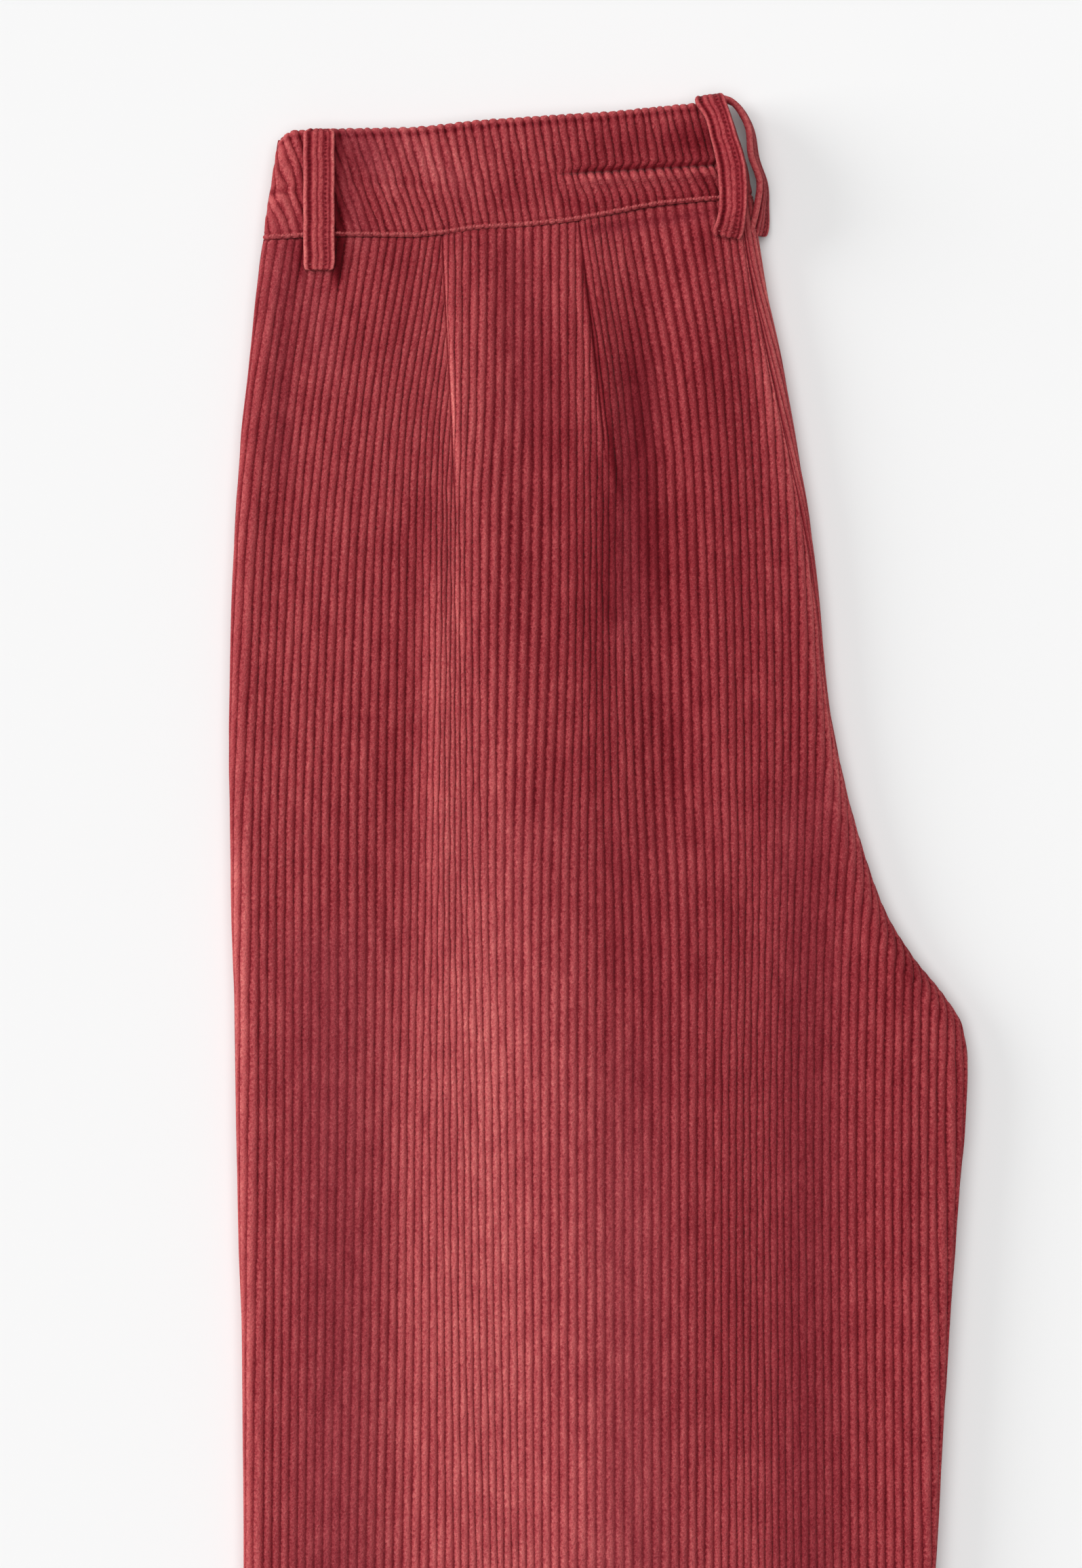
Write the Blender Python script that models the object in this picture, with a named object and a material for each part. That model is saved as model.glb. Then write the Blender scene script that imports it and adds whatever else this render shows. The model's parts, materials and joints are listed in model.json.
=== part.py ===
"""Corduroy trousers, folded in half down the middle and laid flat with the seat outwards.

The top layer is the left back, with two darts under the waistband. It turns under at the side
edge, and the right back comes up round the seat fold to meet it at the centre back seam. Both
fronts lie hidden between them. Millimetres are used throughout and turned into metres at the end.

Frame: X across the folded legs (side edge at -X, seat and crotch at +X), Y up the legs towards
the waist, Z up from the surface that the trousers lie on.
"""

import math
from collections import namedtuple

import bmesh
import bpy
from mathutils import Vector

MM = 0.001

# Cloth and seams
CLOTH = 2.0  # one layer of corduroy, over its wales
WALE_PITCH = 3.22  # eight wales to the inch
WALE_HEIGHT = 0.8
GROUND = CLOTH - WALE_HEIGHT  # the woven ground that the wales stand on
SEAT_CROWD = 4.5  # how softly the wales crowd along the seat edge
SIDE_CROWD = 2.0  # and along the side edge
CROWD_REACH = 20.0  # times that softness, past which the wales keep their pitch
NARROWEST = 0.4  # a strip of wale narrower than this is left out
GAP = 0.3  # between pieces that are sewn or lie together
HEM_THICKNESS = 2.8  # the turned-up hem, pressed flat
HEM_DEPTH = 32.0
BAND_CLOTH = 2.2  # the waistband, with its interfacing

# The folded stack
HEIGHT = 15.0  # four layers with the air that a soft pile keeps between them
BAND_TOP = 15.8  # the stiffer waistband stands a little higher
SIDE_ROUND = 7.0  # how far in from the side edge the cloth starts to turn over
SEAT_ROUND = 9.0  # the same at the seat fold, where two legs turn over together
SEAM_TURN = 28.0  # degrees round the seat fold from its top to the centre back seam
SLOT = 0.8  # the groove between the two folded legs
SLOT_DEPTH = 14.0
GROOVE_POINTS = 5  # across it: an edge, a swell, the bottom, a swell, an edge
SWELL_IN = 0.35  # where each leg's edge bends in towards the groove, across
SWELL_DOWN = 0.7  # and down
FULL_LENGTH = 1040.0
WAIST_SEAM_Y = 470.0  # the waist seam's height at the middle of the back
BACK_LENGTH = WAIST_SEAM_Y + FULL_LENGTH / 2
CROTCH = 310.0  # down from the waist seam to the crotch point
CROTCH_ROUND = 18.0  # over which the seat fold parts into two legs
SEAM_LEVEL = 130.0  # below here the centre back seam slips round towards the crotch point
CROTCH_BAR = 4.0  # the seams that cross at the crotch hold it at mid height this far above
SLANT_FADES = 140.0  # below the waist seam, where the rows lie level again
BAND_LEAN = 9.0  # how far the band's wales drift sideways from its seam to its top

# Belt loops
LOOP_WIDTH = 12.0
LOOP_CLOTH = 2.4
LOOP_RELIEF = 0.5
LOOP_RIBS = 4
LOOP_BELOW_SEAM = 13.5
LOOP_ON_BAND = (0.985, 0.7, 0.35, 0.06)  # where a flat loop's stations lie up the waistband
LOOP_LEAVES_BAND = 3.0  # below the waist seam
SIDE_LOOP_X = -107.0
LIFT = LOOP_CLOTH + GAP  # the loop under the waistband keeps it this far off the surface
LIFT_LEVEL = 2.0  # the cloth under the waist seam starts down this far past the loop's end
LIFT_FADES = 30.0  # and lies on the surface this much further down

CORDUROY = (0.30, 0.040, 0.048, 1.0)

# The outline of the folded garment.
OUTLINE = (
    # y, side edge x, seat edge x
    (520.0, -121.6, 47.0),
    (505.0, -123.0, 52.8),
    (495.0, -124.5, 57.0),
    (480.0, -127.0, 59.8),
    (465.0, -129.2, 61.8),
    (448.0, -131.4, 64.6),
    (417.0, -134.5, 71.2),
    (385.0, -137.9, 76.8),
    (354.0, -140.0, 82.0),
    (323.0, -141.3, 85.5),
    (292.0, -141.9, 88.2),
    (261.0, -142.1, 94.0),
    (230.0, -141.7, 102.4),
    (208.0, -141.2, 110.4),
    (190.0, -140.6, 121.3),
    (175.0, -140.2, 133.2),
    (163.0, -140.0, 140.3),
    (150.0, -139.8, 142.1),
    (130.0, -139.5, 141.4),
    (105.0, -139.0, 139.3),
    (43.0, -137.4, 134.8),
    (-44.0, -136.4, 129.9),
    (-200.0, -135.4, 122.6),
    (-360.0, -134.0, 115.4),
    (-520.0, -132.5, 108.4),
)

# The waistband's two edges, left to right.
WAIST_LEFT = -128.0
WAIST_RIGHT = 58.0
WAIST = (
    # x, top edge y, waist seam y
    (-130.0, 504.6, 465.5),
    (-119.0, 506.8, 466.0),
    (-99.0, 507.8, 466.7),
    (-73.0, 508.3, 466.4),
    (-60.0, 509.4, 467.4),
    (-47.0, 510.9, 469.3),
    (-30.0, 512.0, 470.4),
    (-13.0, 513.2, 472.0),
    (4.0, 514.3, 474.9),
    (21.0, 516.0, 478.1),
    (39.0, 517.6, 480.0),
    (60.0, 518.2, 481.5),
)

# How far the wales drift towards the middle of the back as they near the waist.
DRIFT = (
    # below the seam, drift of the side half, drift of the seat half
    (0.0, 19.4, 15.6),
    (30.0, 14.9, 11.2),
    (58.0, 10.8, 7.0),
    (74.0, 8.8, 5.4),
    (95.0, 6.5, 3.9),
    (121.0, 4.4, 2.7),
    (147.0, 3.1, 1.9),
    (199.0, 1.5, 0.7),
    (251.0, 0.6, 0.0),
    (381.0, 0.0, 0.0),
)
DRIFT_REACH = 45.0  # across which the drift below a dart's point fades in

# The two darts of the back, each a sewn line that swallows the wales beside it.
DARTS = (
    # x at the seam, x at the point, length
    (-61.0, -55.6, 100.0),
    (-8.6, 4.9, 92.0),
)
DART_GROOVE = 0.5
DART_GROOVE_WIDTH = 3.0

# The largest soft folds of the top layer.
FOLDS = (
    # x0, y0, x1, y1, half width, rise
    (-37.0, 300.0, 2.0, -20.0, 26.0, 2.2),  # the long roll down the leg
    (2.0, -20.0, -4.0, -470.0, 28.0, 2.0),  # and its lower half
    (-79.0, 275.0, -74.0, -60.0, 15.0, -1.5),  # trough beside it
    (-74.0, -60.0, -70.0, -440.0, 16.0, -1.3),
    (92.0, 170.0, 101.0, -60.0, 17.0, -1.7),  # trough before the inseam edge
    (101.0, -60.0, 84.0, -430.0, 16.0, -1.2),
    (21.0, 432.0, 27.0, 262.0, 12.0, -2.0),  # hollow beyond the dart by the seat
    (-46.0, 440.0, -44.0, 335.0, 12.0, 1.2),  # swell between the darts
    (-111.0, 455.0, -124.0, 345.0, 11.0, -1.0),  # hollow by the side edge
    (112.0, 186.0, 114.0, 90.0, 12.0, 1.0),  # swell under the crotch
    (-12.0, 488.0, 50.0, 493.5, 3.5, -0.9),  # crease along the waistband
    (-130.0, 480.0, -112.0, 480.5, 3.5, -1.0),  # and its start at the side
)
FOLD_EDGE = 16.0  # folds fade out this near the edges
FOLD_END = 35.0  # and over this length past their ends

# The belt loop left of the centre back seam, bowed towards it. It is sewn over the waistband's
# top edge and, below the waist seam, to the back, which lies lower than the waistband.
BAND_DOWN = HEIGHT - BAND_TOP
LOOP_LEFT = (
    # y, centre x, stand-off from the waistband
    (519.8, 41.8, -1.0),
    (517.0, 42.6, 0.0),
    (514.5, 43.8, 2.2),
    (511.0, 45.2, 4.5),
    (505.0, 47.4, 5.6),
    (495.0, 50.2, 5.7),
    (486.0, 51.2, 5.6),
    (477.5, 51.2, 5.0),
    (472.0, 50.6, 3.2),
    (468.5, 50.0, 0.6),
    (465.5, 49.3, BAND_DOWN),
)

# The belt loop right of the seam, standing on edge beyond the seat fold.
LOOP_RIGHT = (
    # y, centre beyond the seat edge, degrees that its face leans up
    (517.2, 2.2, 15.0),
    (514.4, 4.7, 12.0),
    (509.6, 6.1, 8.0),
    (502.2, 5.6, 10.0),
    (494.0, 4.9, 15.0),
    (485.2, 4.5, 18.0),
    (477.0, 3.6, 21.0),
    (471.5, 2.9, 22.0),
    (467.0, 2.5, 22.0),
)
LOOP_RIGHT_Z = 7.8  # the height of its middle

# Rows of the backs, measured down from the waist seam. They crowd at the darts and the crotch.
ROWS = (
    0.0, 16.0, 46.0, 74.0, 101.0, 130.0, 170.0, 209.0, 232.0, 250.0, 264.0, 275.0,
    285.0, 294.0, 303.0, 313.0, 325.0, 338.0, 430.0, 590.0, 790.0,
    BACK_LENGTH - HEM_DEPTH, BACK_LENGTH,
)
BAND_ROWS = (0.0, 0.24, 0.36, 0.48, 0.95, 1.0)  # from the waist seam up to the top edge
BAND_EDGE_DROP = 0.9  # how far the waistband rounds down at its top edge
WALES_EACH_WAY = 48  # wales counted out from the middle of the leg
TURN_ANGLES = (0.0, 0.34, 0.67, 1.0)  # shares of a turned edge where the plain inside bends
FLAT_COLUMNS = 19  # of the plain inside, between the turned edges
UNDER_SIDE_STEPS = 4  # two wales on the turned side edge of the bottom layer
UNDER_SEAT_STEPS = 12  # six round the seat fold
UNDER_SEAT_TURN = 152.0  # degrees that those six go round
UNDER_FLAT_STEPS = 8

# Mesh finish
MERGE = 0.002  # points nearer than this are one
SHORTEST = 0.001
SHARP_ANGLE = 50.0  # degrees between faces, past which an edge looks sharp

Row = namedtuple("Row", "side seat seat_round side_half seat_half low high seam wall y lean down")


def ramp(t):
    """Rises smoothly from 0 to 1 as t does."""
    t = min(1.0, max(0.0, t))
    return t * t * (3.0 - 2.0 * t)


def mix(a, b, t):
    return a + (b - a) * t


def curve_through(rows, column):
    """A smooth function of a table's first column that never overshoots the table."""
    points = sorted((row[0], row[column]) for row in rows)
    xs = [p[0] for p in points]
    ys = [p[1] for p in points]
    steps = [b - a for a, b in zip(xs, xs[1:])]
    slopes = [(b - a) / h for a, b, h in zip(ys, ys[1:], steps)]
    tangents = [slopes[0]]
    for before, after in zip(slopes, slopes[1:]):
        same_way = before * after > 0.0
        tangents.append(2.0 * before * after / (before + after) if same_way else 0.0)
    tangents.append(slopes[-1])

    def value(x):
        if x <= xs[0]:
            return ys[0]
        if x >= xs[-1]:
            return ys[-1]
        i = max(k for k in range(len(steps)) if xs[k] <= x)
        t = (x - xs[i]) / steps[i]
        rise = ys[i + 1] - ys[i]
        bend_in = (tangents[i] * steps[i] - rise) * (1.0 - t)
        bend_out = (rise - tangents[i + 1] * steps[i]) * t
        return mix(ys[i], ys[i + 1], t) + t * (1.0 - t) * (bend_in + bend_out)

    return value


side_edge = curve_through(OUTLINE, 1)
seat_edge = curve_through(OUTLINE, 2)
waist_top = curve_through(WAIST, 1)
waist_seam = curve_through(WAIST, 2)
side_drift = curve_through(DRIFT, 1)
seat_drift = curve_through(DRIFT, 2)


def quarter_arc(a, b):
    """The length of a quarter of an ellipse with these half axes."""
    return math.pi / 4.0 * (3.0 * (a + b) - math.sqrt((3.0 * a + b) * (a + 3.0 * b)))


# Rows across the garment


def leg_row(down):
    """The section of the folded legs, this far below the waist seam."""

    def y(x):
        slant = (waist_seam(x) - WAIST_SEAM_Y) * (1.0 - ramp(down / SLANT_FADES))
        return WAIST_SEAM_Y - down + slant

    together = 1.0 - ramp((down - CROTCH) / CROTCH_ROUND)
    low = LIFT * (1.0 - ramp((down - LOOP_BELOW_SEAM - LIFT_LEVEL) / LIFT_FADES))
    quarter = (HEIGHT - low) / 4.0
    hem = down >= BACK_LENGTH - HEM_DEPTH
    slip = min(1.0, max(0.0, (down - SEAM_LEVEL) / (CROTCH - CROTCH_BAR - SEAM_LEVEL)))
    return Row(
        side=side_edge(y(WAIST_LEFT)) + WALE_HEIGHT,
        seat=seat_edge(y(WAIST_RIGHT)) - WALE_HEIGHT,
        seat_round=mix(SIDE_ROUND, SEAT_ROUND, together),
        side_half=quarter - WALE_HEIGHT,
        seat_half=quarter * (1.0 + together) - WALE_HEIGHT,
        low=low,
        high=HEIGHT,
        seam=mix(SEAM_TURN, 90.0, slip),
        wall=(HEM_THICKNESS if hem else CLOTH) - WALE_HEIGHT,
        y=y,
        lean=0.0,
        down=down,
    )


def band_row(share):
    """The section of the folded waistband, from 0 just above its seam to 1 at its top edge."""

    def y(x):
        return mix(waist_seam(x) + GAP, waist_top(x), share)

    drop = BAND_EDGE_DROP if share == 1.0 else 0.0
    quarter = (BAND_TOP - LIFT - drop) / 4.0
    return Row(
        side=side_edge(y(WAIST_LEFT)) + WALE_HEIGHT,
        seat=seat_edge(y(WAIST_RIGHT)) - WALE_HEIGHT,
        seat_round=SEAT_ROUND,
        side_half=quarter - WALE_HEIGHT,
        seat_half=2.0 * quarter - WALE_HEIGHT,
        low=LIFT,
        high=BAND_TOP - drop,
        seam=SEAM_TURN,
        wall=BAND_CLOTH - WALE_HEIGHT,
        y=y,
        lean=BAND_LEAN * share,
        down=None,
    )


def folds(x, y):
    """The rise of the largest folds at a point of the top layer."""
    total = 0.0
    for x0, y0, x1, y1, width, rise in FOLDS:
        run_x, run_y = x1 - x0, y1 - y0
        length = math.hypot(run_x, run_y)
        along = ((x - x0) * run_x + (y - y0) * run_y) / length
        aside = ((x - x0) * run_y - (y - y0) * run_x) / length
        beyond = max(0.0, -along, along - length)
        total += rise * math.exp(-((aside / width) ** 2) - (beyond / FOLD_END) ** 2)
    return total


def reach(row, seam):
    """How far a layer runs across, along the cloth: from the side seam to the seat's own."""
    side_arc = quarter_arc(SIDE_ROUND, row.side_half)
    seat_arc = quarter_arc(row.seat_round, row.seat_half)
    start, end = row.side + SIDE_ROUND, row.seat - row.seat_round
    return start - side_arc, end + seat_arc * seam / 90.0, side_arc, seat_arc


def on_section(row, u, out):
    """A point u across the cloth, moved out of its ground: (x, ground x, drop below the top)."""
    _, _, side_arc, seat_arc = reach(row, 90.0)
    start, end = row.side + SIDE_ROUND, row.seat - row.seat_round
    if u < start:
        angle = (start - u) / side_arc * math.pi / 2.0
        drop = row.side_half - (row.side_half + out) * math.cos(angle)
        sine = math.sin(angle)
        return start - (SIDE_ROUND + out) * sine, start - SIDE_ROUND * sine, drop
    if u > end:
        angle = (u - end) / seat_arc * math.pi / 2.0
        drop = row.seat_half - (row.seat_half + out) * math.cos(angle)
        sine = math.sin(angle)
        return end + (row.seat_round + out) * sine, end + row.seat_round * sine, drop
    return u, u, -out


def on_top(row, u, out):
    """A point of the top layer, or of what lies on or under it."""
    x, ground_x, drop = on_section(row, u, out)
    y = row.y(ground_x)
    room = min(ground_x - row.side, row.seat - ground_x)
    rise = folds(ground_x, y) * ramp(room / FOLD_EDGE)
    return (x, y, row.high - WALE_HEIGHT - drop + rise)


def underneath(row, u, out):
    """A point of the bottom layer: the same section turned over, without the folds."""
    x, ground_x, drop = on_section(row, u, out)
    return (x, row.y(ground_x), row.low + WALE_HEIGHT + drop)


def columns(row, seam):
    """Where the plain inside bends: at the turned edges and evenly between them."""
    _, last, side_arc, seat_arc = reach(row, seam)
    start, end = row.side + SIDE_ROUND, row.seat - row.seat_round
    turned_side = [start - side_arc * share for share in reversed(TURN_ANGLES)]
    turned_seat = [min(last, end + seat_arc * share) for share in TURN_ANGLES]
    steps = FLAT_COLUMNS + 1
    flat = [mix(start, end, step / steps) for step in range(1, steps)]
    return turned_side + flat + turned_seat


# The wales' way across the back


def dart_line(dart, down):
    """The x of a dart's sewn line."""
    at_seam, at_point, length = dart
    return mix(at_seam, at_point, min(1.0, down / length))


def wale_across(wale_x, down):
    """Where a wale lies across a row, and how much room it has before a dart swallows it."""
    lines = [dart_line(dart, down) for dart in DARTS]
    open_share = [1.0 - ramp(down / dart[2]) for dart in DARTS]
    takes = [side_drift(down) * open_share[0], seat_drift(down) * open_share[1]]
    rest = [side_drift(down) - takes[0], seat_drift(down) - takes[1]]
    left = wale_x + takes[0]
    left += rest[0] * ramp((lines[0] - left) / DRIFT_REACH)
    right = wale_x - takes[1]
    right -= rest[1] * ramp((right - lines[1]) / DRIFT_REACH)
    sewn = down < DARTS[1][2]
    plenty = WALE_PITCH
    if left < lines[0]:
        return left, lines[0] - left if sewn else plenty
    if wale_x < lines[0]:
        return lines[0], 0.0 if sewn else plenty
    if wale_x < lines[1]:
        return wale_x, min(wale_x - lines[0], lines[1] - wale_x) if sewn else plenty
    if right < lines[1]:
        return lines[1], 0.0 if sewn else plenty
    return right, right - lines[1] if sewn else plenty


def crowd(room, softness):
    """Wales crowd together as they near an edge, and run along it before they end."""
    if room > CROWD_REACH * softness:
        return room
    crowded = softness * math.log1p(math.exp(room / softness))
    return crowded if crowded > NARROWEST else 0.0


def on_wales(row, half_wale):
    """A point on the face of the top layer, on a wale's crest if half_wale is odd."""
    wale_x = half_wale * WALE_PITCH / 2.0
    if row.down is None:
        u, room = wale_x - row.lean, WALE_PITCH
    else:
        u, room = wale_across(wale_x, row.down)
    first, last, _, _ = reach(row, row.seam)
    last -= GAP
    u = last - crowd(last - u, SEAT_CROWD)
    u = first + crowd(u - first, SIDE_CROWD)
    room = min(room, u - first, last - u)
    relief = WALE_HEIGHT if half_wale % 2 else 0.0
    x, y, z = on_top(row, u, relief * min(1.0, room / (WALE_PITCH / 2.0)))
    if row.down is not None and row.down < DARTS[1][2]:
        near = min(abs(x - dart_line(dart, row.down)) for dart in DARTS)
        z -= DART_GROOVE * math.exp(-((near / DART_GROOVE_WIDTH) ** 2))
    return (x, y, z)


# Mesh helpers


def place(bm, points):
    return [bm.verts.new((x * MM, y * MM, z * MM)) for x, y, z in points]


def face(bm, *corners):
    if len(set(corners)) == 3:
        bm.faces.new(corners)


def skin(bm, first, second, closed=False):
    """Faces between two rows of vertices of the same count, each square cut the same way."""
    count = len(first)
    for i in range(count if closed else count - 1):
        j = (i + 1) % count
        face(bm, first[i], first[j], second[j])
        face(bm, first[i], second[j], second[i])


def lace(bm, first, second):
    """Faces between two rows of vertices of different counts, going across side by side."""
    i = j = 0
    while i < len(first) - 1 or j < len(second) - 1:
        step_first = j == len(second) - 1 or (
            i < len(first) - 1 and first[i + 1].co.x <= second[j + 1].co.x
        )
        if step_first:
            face(bm, first[i], first[i + 1], second[j])
            i += 1
        else:
            face(bm, first[i], second[j + 1], second[j])
            j += 1


def corduroy():
    material = bpy.data.materials.get("corduroy") or bpy.data.materials.new("corduroy")
    material.use_nodes = True
    shader = material.node_tree.nodes["Principled BSDF"]
    shader.inputs["Base Color"].default_value = CORDUROY
    shader.inputs["Roughness"].default_value = 0.95
    shader.inputs["Metallic"].default_value = 0.0
    return material


def finish(bm, name):
    """Merges what coincides, turns the faces outwards and makes the object."""
    bmesh.ops.remove_doubles(bm, verts=bm.verts, dist=MERGE * MM)
    bmesh.ops.dissolve_degenerate(bm, dist=SHORTEST * MM, edges=bm.edges)
    bmesh.ops.triangulate(bm, faces=bm.faces)
    bmesh.ops.recalc_face_normals(bm, faces=bm.faces)
    mesh = bpy.data.meshes.new(name)
    bm.to_mesh(mesh)
    bm.free()
    mesh.materials.append(corduroy())
    mesh.shade_smooth()
    mesh.set_sharp_from_angle(angle=math.radians(SHARP_ANGLE))
    piece = bpy.data.objects.new(name, mesh)
    bpy.context.scene.collection.objects.link(piece)
    return piece


# The two outer layers


def make_top_layer(name, rows):
    """A wall with wales raised in its face, a plain inside, and rims at its seams and ends."""
    bm = bmesh.new()
    widest = WALES_EACH_WAY * 2
    outer = [place(bm, [on_wales(row, i) for i in range(-widest, widest + 1)]) for row in rows]
    inner = []
    for row in rows:
        last = reach(row, row.seam)[1] - GAP
        across = [min(last, u) for u in columns(row, row.seam)]
        inner.append(place(bm, [on_top(row, u, -row.wall) for u in across]))
    for above, below in zip(outer, outer[1:]):
        skin(bm, above, below)
    for above, below in zip(inner, inner[1:]):
        skin(bm, above, below)
    for column in (0, -1):
        skin(bm, [row[column] for row in outer], [row[column] for row in inner])
    for end in (0, -1):
        lace(bm, outer[end], inner[end])
    return finish(bm, name)


def under_across(row):
    """The columns of the bottom layer: (u across, the height of its wales there)."""
    first, last, _, seat_arc = reach(row, 180.0 - row.seam)
    start, end = row.side + SIDE_ROUND, row.seat - row.seat_round
    last -= GAP
    found = []
    for step in range(UNDER_SIDE_STEPS + 1):
        found.append((mix(first, start, step / UNDER_SIDE_STEPS), WALE_HEIGHT * (step % 2)))
    found[-1] = (start, WALE_HEIGHT)
    for step in range(1, UNDER_FLAT_STEPS):
        found.append((mix(start, end, step / UNDER_FLAT_STEPS), WALE_HEIGHT))
    found.append((end, WALE_HEIGHT))
    spacing = seat_arc * UNDER_SEAT_TURN / 90.0 / UNDER_SEAT_STEPS
    relief = WALE_HEIGHT * min(1.0, spacing / (WALE_PITCH / 2.0))
    for step in range(1, UNDER_SEAT_STEPS + 1):
        u = min(last, end + spacing * step)
        room = min(1.0, (last - u) / (WALE_PITCH / 2.0))
        found.append((u, relief * room * (step % 2)))
    return found


def make_bottom_layer(name, rows):
    """A wall that is flat on the surface, turned up at the side and round the seat fold."""
    bm = bmesh.new()
    outer, inner = [], []
    for row in rows:
        across = under_across(row)
        outer.append(place(bm, [underneath(row, u, relief) for u, relief in across]))
        inner.append(place(bm, [underneath(row, u, -row.wall) for u, _ in across]))
    for above, below in zip(outer, outer[1:]):
        skin(bm, above, below)
    for above, below in zip(inner, inner[1:]):
        skin(bm, above[::-1], below[::-1])
    for column in (0, -1):
        skin(bm, [row[column] for row in outer], [row[column] for row in inner])
    for end in (0, -1):
        skin(bm, outer[end], inner[end])
    return finish(bm, name)


# The hidden layers


def groove(row, way):
    """The layered edge of the two fronts, from the upper seam in to the groove and out again."""
    half = row.side_half if way < 0.0 else row.seat_half
    rounding = SIDE_ROUND if way < 0.0 else row.seat_round
    edge = row.side if way < 0.0 else row.seat
    upper = row.high - WALE_HEIGHT - half - GAP
    lower = row.low + WALE_HEIGHT + half + GAP
    middle = (row.high + row.low) / 2.0
    if upper - middle < 2.0 * GAP:
        inside = edge - way * (row.wall + GAP)
        return [(inside, row.y(edge), middle)] * GROOVE_POINTS
    swell = edge - way * rounding * SWELL_IN
    deepest = edge - way * SLOT_DEPTH
    return [
        (edge, row.y(edge), upper),
        (swell, row.y(swell), mix(upper, middle + SLOT / 2.0, SWELL_DOWN)),
        (deepest, row.y(deepest), middle),
        (swell, row.y(swell), mix(lower, middle - SLOT / 2.0, SWELL_DOWN)),
        (edge, row.y(edge), lower),
    ]


def make_hidden_layers(name, rows):
    """Both fronts as one rounded solid between the outer layers, grooved where they part."""
    bm = bmesh.new()
    rings = []
    for row in rows:
        across = columns(row, 90.0)
        top = [on_top(row, u, -row.wall - GAP) for u in across]
        bottom = [underneath(row, u, -row.wall - GAP) for u in across]
        seat_side = groove(row, 1.0)
        side_side = groove(row, -1.0)
        ring = top + seat_side + bottom[::-1] + side_side[::-1]
        rings.append((row, place(bm, ring), len(top)))
    for (_, above, _), (_, below, _) in zip(rings, rings[1:]):
        skin(bm, above, below, closed=True)
    for end, inward in ((0, -1.0), (-1, 1.0)):
        row, ring, count = rings[end]
        cap_in_layers(bm, row, ring, count, inward)
    return finish(bm, name)


def cap_in_layers(bm, row, ring, count, inward):
    """Closes an end with a groove at mid height, where the two fronts part."""
    after_seat = count + GROOVE_POINTS
    top = ring[:count]
    seat_side = ring[count:after_seat]
    bottom = ring[after_seat : after_seat + count][::-1]
    side_side = ring[after_seat + count :][::-1]
    middle = (row.high + row.low) / 2.0
    left = side_side[2].co.x / MM
    right = min(seat_side[2].co.x / MM, row.seat - SLOT_DEPTH)
    spine = []
    for vertex in top:
        x = min(right, max(left, vertex.co.x / MM))
        inset = SLOT_DEPTH if left < x < right else 0.0
        spine.append((x, row.y(x) + inward * inset, middle))
    spine = place(bm, spine)
    spine[0], spine[-1] = side_side[2], seat_side[2]
    skin(bm, top, spine)
    skin(bm, spine, bottom)
    for corner, edge in ((0, side_side), (-1, seat_side)):
        for half, sewn in ((top, edge[0:3]), (bottom, edge[4:1:-1])):
            face(bm, half[corner], sewn[0], sewn[1])
            face(bm, half[corner], sewn[1], sewn[2])


# Belt loops


def make_strap(name, centres, sides, width, relief):
    """A flat strap through its centres, ribbed on its face, with its edges along the sides."""
    bm = bmesh.new()
    rings = []
    steps = LOOP_RIBS * 2
    for i, (centre, side) in enumerate(zip(centres, sides)):
        before, after = centres[max(0, i - 1)], centres[min(len(centres) - 1, i + 1)]
        side = side.normalized()
        outwards = (after - before).cross(side).normalized()
        face_row, back_row = [], []
        for step in range(steps + 1):
            across = side * mix(-width / 2.0, width / 2.0, step / steps)
            rib = 0.0 if step % 2 else relief
            face_row.append(centre + across + outwards * (LOOP_CLOTH / 2.0 - rib))
            back_row.append(centre + across - outwards * (LOOP_CLOTH / 2.0))
        rings.append(place(bm, face_row + [back_row[-1], back_row[steps // 2], back_row[0]]))
    for above, below in zip(rings, rings[1:]):
        skin(bm, above, below, closed=True)
    bm.faces.new(rings[0])
    bm.faces.new(rings[-1])
    return finish(bm, name)


def make_side_loops():
    """The flat loops near the side: one on the top layer, one under the bottom layer."""
    stations = [(band_row(share), BAND_TOP) for share in LOOP_ON_BAND]
    stations += [(leg_row(LOOP_LEAVES_BAND), BAND_TOP), (leg_row(LOOP_BELOW_SEAM), 0.0)]
    above, below = [], []
    for row, least in stations:
        y = row.y(SIDE_LOOP_X)
        edges = [SIDE_LOOP_X + side * LOOP_WIDTH / 2.0 for side in (-1.0, 0.0, 1.0)]
        crest = max(on_top(row, x, WALE_HEIGHT)[2] for x in edges)
        above.append(Vector((SIDE_LOOP_X, y, max(least, crest) + GAP + LOOP_CLOTH / 2.0)))
        below.append(Vector((SIDE_LOOP_X, y, LOOP_CLOTH / 2.0)))
    across = [Vector((1.0, 0.0, 0.0))] * len(stations)
    make_strap("loop_side_left", above, across, LOOP_WIDTH, LOOP_RELIEF)
    make_strap("loop_side_right", below[::-1], across, LOOP_WIDTH, 0.0)


def make_centre_left_loop():
    """The loop that bows off the waistband beside the centre back seam."""
    centres, sides = [], []
    for y, x, stand_off in LOOP_LEFT:
        centres.append(Vector((x, y, BAND_TOP + GAP + stand_off + LOOP_CLOTH / 2.0)))
        sides.append(Vector((1.0, 0.0, 0.0)))
    make_strap("loop_centre_left", centres, sides, LOOP_WIDTH, LOOP_RELIEF)


def make_centre_right_loop():
    """The loop of the other half, standing on edge beyond the seat fold."""
    centres, sides = [], []
    for y, beyond, lean in LOOP_RIGHT:
        turn = math.radians(lean)
        centres.append(Vector((seat_edge(y) + beyond, y, LOOP_RIGHT_Z)))
        sides.append(Vector((math.sin(turn), 0.0, -math.cos(turn))))
    make_strap("loop_centre_right", centres, sides, LOOP_WIDTH, LOOP_RELIEF)


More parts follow.
